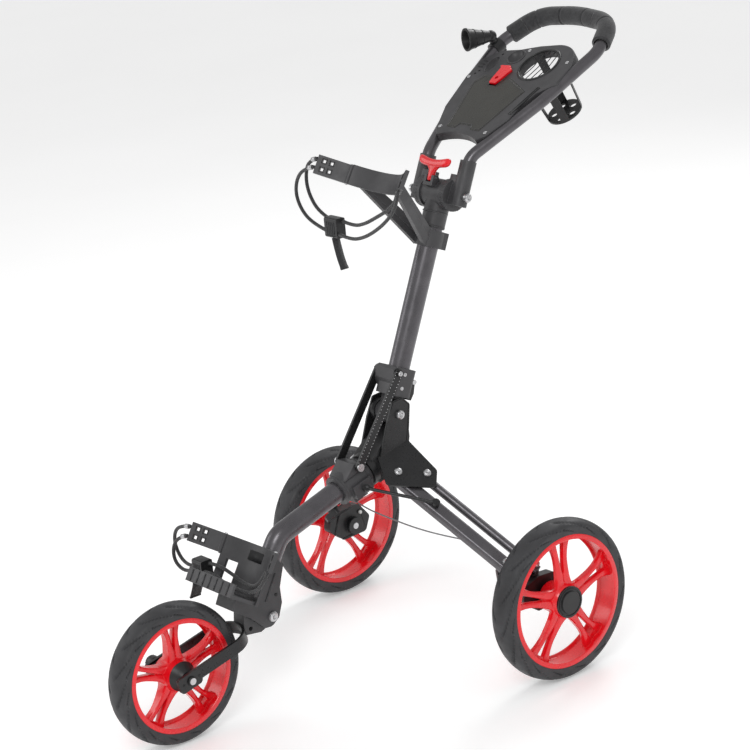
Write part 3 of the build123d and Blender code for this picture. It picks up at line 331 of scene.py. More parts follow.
FINISHES = {
    "tyre": TYRE, "red": RED, "black_plastic": BLACK, "charcoal_plastic": CHARCOAL, "grey_tube": GREY_TUBE,
    "black_metal": BLACK_METAL, "steel": STEEL, "panel": PANEL, "foam": FOAM, "elastic": ELASTIC,
    "webbing": WEBBING, "cable": CABLE,
}
for subpart in frame["record"]["subparts"]:
    shown = frame["nodes"][subpart["node"]]
    shown.data.materials.clear()
    shown.data.materials.append(FINISHES[subpart["material_slot"]])

# ================================================================ piece makers


def piece(name, mesh, material, body, smooth=True):
    made = bpy.data.objects.new(name, mesh)
    mesh.materials.append(material)
    bpy.context.collection.objects.link(made)
    if smooth:
        mesh.shade_smooth()
    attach(made, body)
    return made


def mesh_of(name, points, faces):
    mesh = bpy.data.meshes.new(name)
    mesh.from_pydata([tuple(p) for p in points], [], faces)
    mesh.validate()
    return mesh


def basis(axis):
    """Two unit vectors square to an axis."""
    axis = Vector(axis).normalized()
    first = axis.orthogonal().normalized()
    return first, axis.cross(first)


def lathe_mesh(name, profile, origin, axis, steps=40, shape=None):
    """Turns (radius, height) points about an axis; shape(ring, angle) may scale a ring's radius."""
    axis = Vector(axis).normalized()
    first, second = basis(axis)
    points = []
    for ring, (radius, height) in enumerate(profile):
        for step in range(steps):
            angle = 2 * pi * step / steps
            scale = shape(ring, angle) if shape else 1
            points.append(Vector(origin) + axis * height
                          + (first * cos(angle) + second * sin(angle)) * radius * scale)
    faces = []
    for ring in range(len(profile) - 1):
        for step in range(steps):
            after = (step + 1) % steps
            faces.append((ring * steps + step, ring * steps + after,
                          (ring + 1) * steps + after, (ring + 1) * steps + step))
    faces.append(tuple(reversed(range(steps))))
    last = (len(profile) - 1) * steps
    faces.append(tuple(range(last, last + steps)))
    return mesh_of(name, points, faces)


def ring_mesh(name, section, origin, axis, steps=64):
    """A closed ring: its section's (radius, height) points turned about an axis."""
    axis = Vector(axis).normalized()
    first, second = basis(axis)
    count = len(section)
    points = []
    faces = []
    for step in range(steps):
        angle = 2 * pi * step / steps
        out = first * cos(angle) + second * sin(angle)
        points += [Vector(origin) + axis * height + out * radius for radius, height in section]
        after = (step + 1) % steps
        for k in range(count):
            follow = (k + 1) % count
            faces.append((step * count + k, step * count + follow, after * count + follow, after * count + k))
    return mesh_of(name, points, faces)


def loft_mesh(name, rings, sides=36, squareness=0.75):
    """A closed skin through rings of (centre, half width, half depth), each a rounded oblong."""
    verts = []
    for centre, wide, deep in rings:
        for k in range(sides):
            a = 2 * pi * k / sides
            u = abs(cos(a)) ** squareness * (1 if cos(a) > 0 else -1)
            v = abs(sin(a)) ** squareness * (1 if sin(a) > 0 else -1)
            verts.append(centre + wide * u + deep * v)
    faces = [(row * sides + k, row * sides + (k + 1) % sides, (row + 1) * sides + (k + 1) % sides,
              (row + 1) * sides + k) for row in range(len(rings) - 1) for k in range(sides)]
    faces.append(tuple(reversed(range(sides))))
    faces.append(tuple((len(rings) - 1) * sides + k for k in range(sides)))
    return mesh_of(name, verts, faces)


def join(name, meshes):
    """One mesh out of several."""
    together = bmesh.new()
    for mesh in meshes:
        together.from_mesh(mesh)
        bpy.data.meshes.remove(mesh)
    made = bpy.data.meshes.new(name)
    together.to_mesh(made)
    together.free()
    return made


def screw_mesh(name, origin, axis, radius, height=0.0022, recess="hex"):
    """A domed screw head with a hexagon or cross recess."""
    def shape(ring, angle):
        if ring < 4:
            return 1
        if recess == "hex":
            return cos(pi / 6) / cos((angle + pi / 6) % (pi / 3) - pi / 6)
        near = abs((angle + pi / 4) % (pi / 2) - pi / 4)
        return 1.0 if near < 0.3 else 0.38
    profile = [(radius, 0), (radius, height * 0.45), (radius * 0.85, height * 0.85), (radius * 0.6, height),
               (radius * 0.5, height), (radius * 0.46, height * 0.35)]
    return lathe_mesh(name, profile, origin, axis, 48, shape)


def block_mesh(name, centre, across, along, size, corner=0.0008):
    """A block with rounded edges: size along across, along and their normal."""
    across = Vector(across).normalized()
    along = Vector(along).normalized()
    normal = across.cross(along)
    built = bmesh.new()
    bmesh.ops.create_cube(built, size=1)
    for vertex in built.verts:
        x, y, z = vertex.co
        vertex.co = Vector(centre) + across * x * size[0] + along * y * size[1] + normal * z * size[2]
    bmesh.ops.bevel(built, geom=built.edges[:], offset=min(corner, min(size) * 0.45), segments=3,
                    affect="EDGES")
    mesh = bpy.data.meshes.new(name)
    built.to_mesh(mesh)
    built.free()
    return mesh


def wire_curve(name, points, radius, material, body, closed=False):
    """A thin round bar or raised line through its points."""
    data = bpy.data.curves.new(name, "CURVE")
    data.dimensions = "3D"
    data.bevel_depth = radius
    data.bevel_resolution = 4
    data.use_fill_caps = True
    spline = data.splines.new("POLY")
    spline.points.add(len(points) - 1)
    for point, spot in zip(spline.points, points):
        point.co = (*spot, 1)
    spline.use_cyclic_u = closed
    data.materials.append(material)
    made = bpy.data.objects.new(name, data)
    bpy.context.collection.objects.link(made)
    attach(made, body)
    return made


# ================================================================ cords, cable and webbing

CORD_DIAMETER = 0.0064
CABLE_DIAMETER = 0.0028
FERRULE = [(0.0034, 0.004), (0.0044, 0.0045), (0.0044, 0.0145), (0.0034, 0.015)]
FITTING = [(0.0022, 0), (0.0042, 0.0008), (0.0042, 0.009), (0.003, 0.0105), (0.003, 0.017), (0.0019, 0.018)]
CORDS = {
    "upper_cord_a": ("mast", "upper_cords", 0.161, [
        (-0.119, 0.038, 0.891), (-0.145, 0.038, 0.884), (-0.160, 0.040, 0.858), (-0.162, 0.042, 0.830),
        (-0.150, 0.044, 0.804), (-0.130, 0.045, 0.789), (-0.106, 0.045, 0.781)]),
    "upper_cord_b": ("mast", "upper_cords", 0.187, [
        (-0.119, 0.029, 0.878), (-0.146, 0.026, 0.872), (-0.170, 0.026, 0.850), (-0.178, 0.027, 0.820),
        (-0.166, 0.030, 0.790), (-0.140, 0.033, 0.772), (-0.106, 0.034, 0.764)]),
    "upper_cord_c": ("mast", "upper_cords", 0.184, [
        (-0.072, 0.045, 0.783), (-0.044, 0.046, 0.778), (-0.012, 0.046, 0.786), (0.022, 0.046, 0.802),
        (0.054, 0.046, 0.818), (0.078, 0.047, 0.836), (0.084, 0.047, 0.855)]),
    "upper_cord_d": ("mast", "upper_cords", 0.217, [
        (-0.072, 0.034, 0.762), (-0.042, 0.034, 0.757), (-0.006, 0.034, 0.764), (0.032, 0.034, 0.782),
        (0.068, 0.034, 0.806), (0.094, 0.035, 0.834), (0.100, 0.036, 0.861)]),
    "lower_cord_a": ("chassis", "lower_cords", 0.180, [
        (-0.119, -0.311, 0.314), (-0.150, -0.312, 0.309), (-0.175, -0.310, 0.290), (-0.181, -0.308, 0.262),
        (-0.164, -0.308, 0.240), (-0.135, -0.310, 0.236), (-0.100, -0.312, 0.244)]),
    "lower_cord_b": ("chassis", "lower_cords", 0.135, [
        (-0.119, -0.320, 0.300), (-0.144, -0.324, 0.292), (-0.160, -0.326, 0.270), (-0.157, -0.328, 0.247),
        (-0.138, -0.327, 0.235), (-0.118, -0.325, 0.236), (-0.100, -0.323, 0.242)]),
    "lower_cord_c": ("chassis", "lower_cords", 0.175, [
        (-0.072, -0.312, 0.258), (-0.042, -0.313, 0.262), (-0.012, -0.308, 0.252), (0.016, -0.306, 0.242),
        (0.046, -0.308, 0.243), (0.072, -0.309, 0.258), (0.084, -0.303, 0.279)]),
    "lower_cord_d": ("chassis", "lower_cords", 0.196, [
        (-0.072, -0.324, 0.246), (-0.042, -0.326, 0.250), (-0.008, -0.326, 0.241), (0.024, -0.325, 0.238),
        (0.060, -0.322, 0.239), (0.088, -0.316, 0.258), (0.100, -0.312, 0.285)]),
}
CABLE_ROUTE = [(0.190, 0.083, 0.236), (0.172, 0.086, 0.231), (0.122, 0.092, 0.222), (0.066, 0.097, 0.214),
               (0.010, 0.103, 0.207), (-0.048, 0.111, 0.201), (-0.106, 0.121, 0.196), (-0.162, 0.130, 0.192),
               (-0.210, 0.138, 0.190), (-0.249, 0.146, 0.191)]


def route_curve(name, points, diameter, material, body):
    """A cord along one smooth NURBS spline."""
    data = bpy.data.curves.new(name, "CURVE")
    data.dimensions = "3D"
    data.bevel_depth = diameter / 2
    data.bevel_resolution = 5
    data.resolution_u = 16
    data.use_fill_caps = True
    spline = data.splines.new("NURBS")
    spline.points.add(len(points) - 1)
    for point, spot in zip(spline.points, points):
        point.co = (*spot, 1)
    spline.order_u = 3
    spline.use_endpoint_u = True
    data.materials.append(material)
    made = bpy.data.objects.new(name, data)
    bpy.context.collection.objects.link(made)
    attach(made, body)
    return made


for name, (body, node, length, points) in CORDS.items():
    strand = route_curve(name, points, CORD_DIAMETER, ELASTIC, body)
    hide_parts(node)
    if name.endswith(("_a", "_b")):
        start = Vector(points[0])
        way = (Vector(points[1]) - start).normalized()
        sleeve = ring_mesh(name + "_ferrule", FERRULE, start, way, 28)
        piece(name + "_ferrule", sleeve, STEEL, body)

cable = route_curve("brake_cable_sheath", CABLE_ROUTE, CABLE_DIAMETER, CABLE, "chassis")
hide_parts("brake_cable")
cable_way = (Vector(CABLE_ROUTE[1]) - Vector(CABLE_ROUTE[0])).normalized()
fitting_mesh = lathe_mesh("cable_fitting", FITTING, CABLE_ROUTE[0], cable_way, 24)
fitting = piece("cable_fitting", fitting_mesh, STEEL, "chassis")


def strap_mesh(name, points, y_from, y_to, thickness=0.0016):
    """A hanging tail of webbing with ribs across it and a folded hem."""
    steps = 48
    spots = [Vector((x, 0, z)) for x, z in points]
    line = []
    for k in range(steps + 1):
        t = k / steps * (len(spots) - 1)
        low = min(int(t), len(spots) - 2)
        part = t - low
        before = spots[max(low - 1, 0)]
        after = spots[min(low + 2, len(spots) - 1)]
        first, second = spots[low], spots[low + 1]
        line.append(0.5 * (2 * first + (second - before) * part
                           + (2 * before - 5 * first + 4 * second - after) * part ** 2
                           + (3 * first - before - 3 * second + after) * part ** 3))
    verts = []
    faces = []
    for k, spot in enumerate(line):
        way = (line[min(k + 1, steps)] - line[max(k - 1, 0)]).normalized()
        side = Vector((way.z, 0, -way.x))
        rib = 1 + 0.35 * (k % 2)
        half = thickness / 2 * rib * (1.9 if k > steps - 6 else 1)
        for y, sign in ((y_from, 1), (y_to, 1), (y_to, -1), (y_from, -1)):
            verts.append(spot + side * half * sign + Vector((0, y, 0)))
        if k:
            for m in range(4):
                n = (m + 1) % 4
                faces.append((4 * k - 4 + m, 4 * k - 4 + n, 4 * k + n, 4 * k + m))
    faces.append((3, 2, 1, 0))
    faces.append((4 * steps, 4 * steps + 1, 4 * steps + 2, 4 * steps + 3))
    return mesh_of(name, verts, faces)


STRAPS = {
    "upper": ("mast", [(-0.090, 0.7535), (-0.086, 0.736), (-0.080, 0.716), (-0.072, 0.698)],
              0.031, 0.047, 0.059),
    "lower": ("chassis", [(-0.080, 0.2345), (-0.084, 0.222), (-0.092, 0.206), (-0.097, 0.197)],
              -0.344, -0.322, 0.042),
}
for name, (body, points, y_from, y_to, length) in STRAPS.items():
    tail = strap_mesh(f"{name}_webbing", points, y_from, y_to)
    webbing = piece(f"{name}_webbing", tail, WEBBING, body)
    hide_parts(f"{name}_strap")

# ================================================================ wheels


TYRE_SHOULDER = 0.013
GROOVE_DEPTH = 0.0044
GROOVE_START = 0.18             # of the half width, out from the tread's middle
GROOVE_END = 0.86               # of the way from the tread to the bead

def tyre_mesh(name, centre, outer, inner, grooves=15):
    """Rounded foam tyre with swept grooves cut from its shoulders towards the bead."""
    wall = [inner + (outer - TYRE_SHOULDER - inner) * k / 8 for k in range(9)]
    profile = [(radius, -WHEEL_HALF) for radius in wall]
    for k in range(1, 24):
        t = -1 + k / 12
        across = sin(t * pi / 2) if abs(t) > 0.5 else t * 1.414
        profile.append((outer - TYRE_SHOULDER * t * t, WHEEL_HALF * across))
    profile += [(radius, WHEEL_HALF) for radius in reversed(wall)]
    steps = 600
    count = len(profile)
    verts = []
    faces = []
    for step in range(steps):
        angle = 2 * pi * step / steps
        for radius, x in profile:
            depth = 0.0
            across = abs(x) / WHEEL_HALF
            reach = (outer - radius) / (outer - inner)
            if across > GROOVE_START and reach < GROOVE_END:
                sweep = angle * grooves / (2 * pi) + 1.7 * reach + 0.35 * across + (0.5 if x > 0 else 0)
                off = abs(sweep % 1 - 0.5) * 2
                width = 0.15 * (1 - 0.6 * reach)
                if off < width:
                    fade = min(1, (across - GROOVE_START) * 6, (GROOVE_END - reach) * 6)
                    depth = GROOVE_DEPTH * (1 - (off / width) ** 2) * fade
            if across < 0.999:
                radius -= depth
            else:
                x -= depth if x > 0 else -depth
            verts.append((centre[0] + x, centre[1] + radius * cos(angle), centre[2] + radius * sin(angle)))
        after = (step + 1) % steps
        for k in range(count):
            follow = (k + 1) % count
            faces.append((step * count + k, step * count + follow, after * count + follow, after * count + k))
    return mesh_of(name, verts, faces)

SPOKE_ROOT = 0.022              # radius where a spoke starts, inside the hub
BARREL_WALL = 0.0045            # how far inside the rim's radius a spoke ends
SPOKE_RIM = 0.119               # rim radius that a spoke's widths are given for

def spoke_mesh(radius, angle, dish, depth):
    """One forked spoke about the origin: two crowned arms with a slot between them, flared at both ends.

    dish is how far out its outer face lies at the hub and at the barrel, and depth its thickness there.
    """
    rows = 26
    slot_rows = range(8, 23)
    scale = radius / SPOKE_RIM
    out = Vector((0, cos(angle), sin(angle)))
    side = Vector((0, -sin(angle), cos(angle)))
    built = bmesh.new()
    front = []
    back = []
    for row in range(rows + 1):
        t = row / rows
        width = scale * (0.0135 + 0.0085 * exp(-9 * t) + 0.016 * max(0, (t - 0.45) / 0.55) ** 2.2)
        slot = scale * (0.0014 + 0.0078 * max(0, (t - 0.28) / 0.72))
        middle = (width + slot) / 2
        arm = [(slot, -0.0014), (slot + 0.0011, 0), (middle, 0.0010), (width - 0.0016, 0), (width, -0.0020)]
        outline = [(-y, h) for y, h in reversed(arm)] + [(0, -0.0032)] + arm
        face = dish[0] + (dish[1] - dish[0]) * t ** 0.8
        rear = face - depth[0] - (depth[1] - depth[0]) * t
        base = out * (SPOKE_ROOT + (radius - BARREL_WALL - SPOKE_ROOT) * t)
        front.append([built.verts.new(base + side * y + X * (face + h)) for y, h in outline])
        back.append([built.verts.new(base + side * y + X * (rear - h)) for y, h in outline])
    last = len(front[0]) - 1
    centre_column = last // 2
    hole = (centre_column - 1, centre_column)
    for row in range(rows):
        for k in range(last):
            if row in slot_rows and k in hole:
                continue
            for grid in (front, back):
                built.faces.new((grid[row][k], grid[row][k + 1], grid[row + 1][k + 1], grid[row + 1][k]))
        walls = [0, last] + ([centre_column - 1, centre_column + 1] if row in slot_rows else [])
        for k in walls:
            built.faces.new((front[row][k], front[row + 1][k], back[row + 1][k], back[row][k]))
    for row in (slot_rows[0], slot_rows[-1] + 1):
        for k in hole:
            built.faces.new((front[row][k], front[row][k + 1], back[row][k + 1], back[row][k]))
    for row in (0, rows):
        for k in range(last):
            built.faces.new((front[row][k], front[row][k + 1], back[row][k + 1], back[row][k]))
    bmesh.ops.recalc_face_normals(built, faces=built.faces[:])
    mesh = bpy.data.meshes.new("spoke")
    built.to_mesh(mesh)
    built.free()
    return mesh

def rim_mesh(name, centre, radius, outward, count=5):
    """Plastic wheel: stepped barrel with rolled flanges, conical hub and five forked spokes."""
    half = WHEEL_HALF
    facing = outward or 1
    lip = [(radius, half - 0.0006), (radius - 0.0008, half), (radius - 0.0080, half),
           (radius - 0.0090, half - 0.0010), (radius - 0.0090, half - 0.0032), (radius - 0.0050, half - 0.0062)]
    barrel = lip + [(r, -h) for r, h in reversed(lip)]
    if outward:
        hub = [(0.0061, -half), (0.0265, -half), (0.0270, -half + 0.001), (0.0290, 0.004), (0.0330, 0.0125),
               (0.0300, 0.0195), (0.0275, half), (0.0061, half)]
        dish, depth = (0.0178, 0.0098), (0.012, 0.010)
    else:
        hub = [(0.0061, -half), (0.0258, -half), (0.0270, -0.018), (0.0300, -0.010), (0.0300, 0.010),
               (0.0270, 0.018), (0.0258, half), (0.0061, half)]
        dish, depth = (0.0125, 0.0058), (0.025, 0.0116)
    parts = [ring_mesh("barrel", barrel, centre, X, 144), ring_mesh("hub", hub, centre, X * facing, 72)]
    for k in range(count):
        spoke = spoke_mesh(radius, pi / 2 + 2 * pi * k / count, dish, depth)
        for vertex in spoke.vertices:
            vertex.co = on_side(vertex.co, facing) + centre
        parts.append(spoke)
    wheel = join(name, parts)
    shell = bmesh.new()
    shell.from_mesh(wheel)
    bmesh.ops.recalc_face_normals(shell, faces=shell.faces[:])
    shell.to_mesh(wheel)
    shell.free()
    return wheel

REAR_SIZES = (0.143, 0.119)     # outer radii of tyre and rim
FRONT_SIZES = (0.124, 0.100)
WHEELS = {
    "rear_left": (REAR_AXLE, REAR_SIZES, "rear_wheel_left", "rear_tyre_left", 1),
    "rear_right": (joint_point("rear_wheel_right_spin"), REAR_SIZES, "rear_wheel_right", "rear_tyre_right", -1),
    "front": (FRONT_AXLE, FRONT_SIZES, "front_wheel", "front_tyre", 0),
}
for name, (centre, (outer, inner), body, node, outward) in WHEELS.items():
    tread = piece(f"{name}_tread", tyre_mesh(f"{name}_tread", centre, outer, inner), TYRE, body)
    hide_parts(node)
    wheel = piece(f"{name}_wheel", rim_mesh(f"{name}_wheel", centre, inner, outward), RED, body)
    wheel.data.set_sharp_from_angle(angle=radians(38))
    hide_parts(node.replace("tyre", "rim"))

HUB_RING = [(0.0235, 0), (0.0235, 0.0009), (0.0255, 0.0009), (0.0255, 0)]
for side, sign, centre in both_sides(REAR_AXLE):
    ring = ring_mesh("hub_ring", HUB_RING, centre + X * sign * (WHEEL_HALF + 0.0042), X * sign, 64)
    piece(f"hub_ring_{side}", ring, BLACK, f"rear_wheel_{side}")

# ================================================================ fork and knuckle details

for side, sign, centre in both_sides(FRONT_AXLE + X * 0.051):
    if sign > 0:
        nut = screw_mesh("nut", centre + X * 0.0002, X, 0.008, 0.0045)
        piece(f"axle_nut_{side}", nut, BLACK, "fork")
    for k, along in enumerate((-0.016, 0.017)):
        spot = centre + slope(FORK_SLOPE) * along
        # Painted shade: a thin near-black disc stands for the shade inside each hole in the fork end.
        dot = lathe_mesh("hole", [(0.0022, 0), (0.0022, 0.0006)], spot, X * sign, 20)
        piece(f"fork_end_hole_shade_{side}_{k}", dot, RECESS_SHADE, "fork")

KNOB = [(0.010, 0), (0.0125, 0.001), (0.0125, 0.006), (0.010, 0.0075), (0.004, 0.0078)]
knob = lathe_mesh("alignment_knob", KNOB, joint_point("alignment_turn") - X * 0.0062, -X, 72,
                  lambda ring, angle: 1 + 0.04 * cos(18 * angle))
piece("alignment_knob", knob, BLACK, "alignment_lever")

for side, sign, centre in both_sides(KNUCKLE + X * 0.028):
    bolt = screw_mesh("bolt", centre, X * sign, 0.0082, 0.003)
    piece(f"knuckle_bolt_{side}", bolt, STEEL, "chassis")
for side, sign, centre in both_sides(KNUCKLE + X * 0.0239):
    # Painted shade: near-black discs stand for the shade inside the knuckle's holes.
    hole_shade_discs = [lathe_mesh("hole", [(0.003, 0), (0.003, 0.0007)], centre + Vector((0, dy, dz)), X * sign, 24)
            for dy, dz in ((0.012, 0.036), (-0.002, 0.072))]
    piece(f"knuckle_hole_shades_{side}", join(f"knuckle_hole_shades_{side}", hole_shade_discs), RECESS_SHADE, "chassis")
    ridge = block_mesh("ridge", centre + Vector((0, 0.002, 0.052)), slope(60), X, (0.05, 0.0016, 0.0022))
    piece(f"knuckle_ridge_{side}", ridge, CHARCOAL, "chassis")

# ================================================================ side plates and struts

for side, sign, low in both_sides((0.0295, 0.0, 0.3775)):
    high = Vector((sign * 0.0295, 0.062, 0.3926))
    wire_curve(f"plate_bend_{side}", [low + X * sign * 0.0006, high + X * sign * 0.0006], 0.0022, STEEL,
               "chassis")
PLATE_EDGE = [(0.001, 0.380), (0.023, 0.440), (0.039, 0.4715), (0.060, 0.4735), (0.0735, 0.460),
              (0.0675, 0.421), (0.062, 0.395)]
for side, sign, pivot in both_sides(MAST_FOOT + X * 0.0332):
    bolt = screw_mesh("bolt", pivot, X * sign, 0.0078, 0.003)
    piece(f"mast_bolt_{side}", bolt, STEEL, "chassis")
    edge_line = [Vector((sign * 0.0292, y, z)) for y, z in PLATE_EDGE]
    wire_curve(f"plate_rim_{side}", edge_line, 0.0011, BLACK_METAL, "chassis")
for side, sign, pivot in both_sides(LEG_INNER):
    normal = on_side(LEG_NORMAL, sign)
    spacing = on_side(LEG_SPACING, sign)
    heads = [screw_mesh("bolt", pivot + spacing * k + normal * 0.0188, normal, 0.0066, 0.0024) for k in (0, 1)]
    piece(f"leg_bolt_heads_{side}", join(f"leg_bolt_heads_{side}", heads), STEEL, "chassis")

STRUT_TOP = Vector((0.0300, 0.058, 0.520))      # on the strut's outer face
BEAD = [(0.0011, 0), (0.0008, 0.0006), (0.0003, 0.0008)]
BEADS = 30
for side, sign, top in both_sides(STRUT_TOP):
    base = Vector((top.x, STRUT_FOOT.y, STRUT_FOOT.z))
    across = X.cross((top - base).normalized())
    beads = []
    for k in range(BEADS + 1):
        for edge in (-1, 1):
            spot = base.lerp(top, k / BEADS) + across * edge * 0.0064 - X * sign * 0.0001
            beads.append(lathe_mesh("bead", BEAD, spot, X * sign, 8))
    piece(f"strut_beads_{side}", join(f"strut_beads_{side}", beads), STEEL, f"strut_{side}")
    nut = screw_mesh("nut", top + X * sign * 0.003, X * sign, 0.0046, 0.002)
    piece(f"strut_bolt_{side}", nut, STEEL, f"strut_{side}")

# ================================================================ release lever

LEVER_FRONT = 0.028             # the lever's middle, forward of the mast's axis
saddle_rings = []
for k in range(33):
    u = k / 16 - 1
    round_off = max(0.12, 1 - abs(u) ** 9) ** 0.5
    saddle_rings.append((mast_at(HEAD + 0.0475 + 0.0065 * u * u, LEVER_FRONT, 0.0405 * u),
                         MAST * (0.0070 + 0.0016 * u * u) * round_off, MAST_FRONT * 0.0056 * round_off))
# Along the mast from the hinge, half width, half depth.
STEM = [(0.0165, 0.0040, 0.0040), (0.0180, 0.0056, 0.0054), (0.0250, 0.0060, 0.0056),
        (0.0310, 0.0066, 0.0052), (0.0360, 0.0088, 0.0047), (0.0400, 0.0130, 0.0044),
        (0.0430, 0.0185, 0.0042), (0.0455, 0.0260, 0.0038), (0.0465, 0.0310, 0.0030)]
stem_rings = [(mast_at(HEAD + along, LEVER_FRONT), X * wide, MAST_FRONT * deep) for along, wide, deep in STEM]
lever_parts = [loft_mesh("saddle", saddle_rings), loft_mesh("stem", stem_rings)]
lever = piece("release_saddle", join("release_saddle", lever_parts), RED, "release_lever")
lever.data.set_sharp_from_angle(angle=radians(50))
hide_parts("release_lever")

# ================================================================ slider clamp

CLAMP_FRONT = Vector((0, -0.080, 0.336))
CLAMP_RIB = [(0.0268, 0), (0.0277, 0.0004), (0.0277, 0.0022), (0.0268, 0.0026)]
clamp_rings = [ring_mesh("rib", CLAMP_RIB, CLAMP_FRONT + TUBE_BACK * along, TUBE_BACK, 72)
               for along in (0.001, 0.006, 0.054, 0.059)]
piece("clamp_ribs", join("clamp_ribs", clamp_rings), CHARCOAL, "slider")

# ================================================================ wheel brackets

BRACKET_FACE = 0.2622           # a bracket's inner face, out from the trolley's middle
COLLAR = [(0.0115, -0.001), (0.0115, 0.0022), (0.017, 0.0022), (0.019, -0.001)]
BRACKET_RIBS = ((-0.025, 0.004, 70, 0.040), (0.036, 0.002, 105, 0.040), (0.008, -0.026, 5, 0.045))
for side, sign, outer in both_sides(LEG_OUTER):
    collar = ring_mesh("collar", COLLAR, Vector((sign * 0.2804, REAR_AXLE.y, REAR_AXLE.z)), X * sign, 48)
    piece(f"bracket_collar_{side}", collar, BLACK, f"bracket_{side}")
    inner_face = Vector((sign * BRACKET_FACE, 0.130, 0.150))
    ribs = [block_mesh("rib", inner_face + Vector((0, dy, dz)), slope(turn), X, (length, 0.0018, 0.0022))
            for dy, dz, turn, length in BRACKET_RIBS]
    piece(f"bracket_ribs_{side}", join(f"bracket_ribs_{side}", ribs), BLACK, f"bracket_{side}")
    pin = lathe_mesh("pin", [(0.0035, 0), (0.0035, 0.0045), (0.0022, 0.0056)],
                     Vector((sign * BRACKET_FACE, 0.160, 0.164)), -X * sign, 24)
    piece(f"brake_pin_{side}", pin, WHITE, f"bracket_{side}")
    normal = on_side(LEG_NORMAL, sign)
    spacing = on_side(LEG_SPACING, sign)
    heads = [screw_mesh("bolt", outer + spacing * k + normal * 0.0138, normal, 0.0064, 0.0022) for k in (0, 1)]
    label = f"bracket_bolt_heads_{side}"
    piece(label, join(label, heads), STEEL, f"bracket_{side}")

# ================================================================ mast head, bracket, sleeve

for side, sign, hinge in both_sides(HANDLE_HINGE + X * 0.0754):
    piece(f"handle_bolt_{side}", screw_mesh("bolt", hinge, X * sign, 0.0074, 0.003), STEEL, "mast")
TEETH = 36
for side, sign, hinge in both_sides(HANDLE_HINGE + X * 0.0304):
    teeth = []
    for k in range(TEETH):
        angle = 2 * pi * k / TEETH
        out = Vector((0, cos(angle), sin(angle)))
        spot = hinge + out * 0.0272 + X * sign * 0.0045
        teeth.append(block_mesh("tooth", spot, out, X, (0.0026, 0.0085, 0.0020), 0.0005))
    piece(f"hinge_teeth_{side}", join(f"hinge_teeth_{side}", teeth), CHARCOAL, "handle")
for side, sign, spot in both_sides((0.0145, 0, 0)):
    face = mast_at(HEAD - 0.083, 0.0251, spot.x)
    piece(f"bracket_screw_{side}", screw_mesh("screw", face, MAST_FRONT, 0.0042, 0.002, "cross"), STEEL, "mast")
HEAD_BAND = [(0.0218, 0), (0.0229, 0.0005), (0.0229, 0.0025), (0.0218, 0.003)]
bands = [ring_mesh("band", HEAD_BAND, mast_at(along), MAST, 64) for along in (HEAD - 0.0605, HEAD - 0.036)]
piece("mast_head_bands", join("mast_head_bands", bands), CHARCOAL, "mast")
for side, sign, spot in both_sides((0.0252, 0, 0)):
    for k, along in enumerate((0.045, 0.070)):
        screw = screw_mesh("screw", mast_at(along, 0.004, spot.x), X * sign, 0.0036, 0.0007, "cross")
        piece(f"sleeve_screw_{side}_{k}", screw, STEEL, "mast")

# ================================================================ handle

GRIP_ROUTE = [(118.6, 280.2), (92, 338), (0, 350), (-92, 338), (-118.6, 280.2)]
GRIP_BENDS = {1: 60, 2: 250, 3: 60}


def rounded_route(points, bends, step=1.5):
    """Plane points along straight runs and tangent arcs, about a step apart."""
    line = []
    here = Vector(points[0]).to_2d()
    for k in range(1, len(points)):
        corner = Vector(points[k]).to_2d()
        target = corner
        arc = []
        if k in bends:
            before = (corner - Vector(points[k - 1]).to_2d()).normalized()
            after = (Vector(points[k + 1]).to_2d() - corner).normalized()
            turned = before.angle_signed(after)
            radius = bends[k]
            trim = radius * abs(sin(turned / 2) / cos(turned / 2))
            target = corner - before * trim
            side = Vector((-before.y, before.x)) * (-1 if turned > 0 else 1)
            hub = target + side * radius
            count = max(4, int(radius * abs(turned) / step))
            for n in range(1, count + 1):
                spin = Matrix.Rotation(-turned * n / count, 2)
                arc.append(hub + spin @ (target - hub))
        count = max(1, int((target - here).length / step))
        line += [here.lerp(target, n / count) for n in range(count)]
        line += [target] + arc
        here = line[-1]
    return line


def grip_mesh(name, radius):
    """Foam sleeves on the handle's loop: five lengths with rounded ends and a seam between each."""
    line = [handle_at(p.x / 1000, p.y / 1000) for p in rounded_route(GRIP_ROUTE, GRIP_BENDS)]
    total = [0.0]
    for first, second in zip(line, line[1:]):
        total.append(total[-1] + (second - first).length)
    seams = [total[-1] * k / 5 for k in range(6)]
    sides = 36
    verts = []
    faces = []
    for k, spot in enumerate(line):
        way = (line[min(k + 1, len(line) - 1)] - line[max(k - 1, 0)]).normalized()
        side = HANDLE_UP.cross(way).normalized()
        near = min(abs(total[k] - s) for s in seams)
        end = min(total[k], total[-1] - total[k])
        swell = radius - 0.0022 * max(0, 1 - near / 0.0028) ** 2
        if end < 0.003:
            swell = min(swell, radius - 0.004 * (1 - end / 0.003) ** 2)
        for n in range(sides):
            angle = 2 * pi * n / sides
            verts.append(spot + (side * cos(angle) + HANDLE_UP * sin(angle)) * swell)
        if k:
            for n in range(sides):
                after = (n + 1) % sides
                faces.append(((k - 1) * sides + n, (k - 1) * sides + after, k * sides + after, k * sides + n))
    faces.append(tuple(range(sides)))
    last = (len(line) - 1) * sides
    faces.append(tuple(reversed(range(last, last + sides))))
    return mesh_of(name, verts, faces)


grip = piece("grip_foam", grip_mesh("grip_foam", 0.017), FOAM, "handle")
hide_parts("handle_grip")

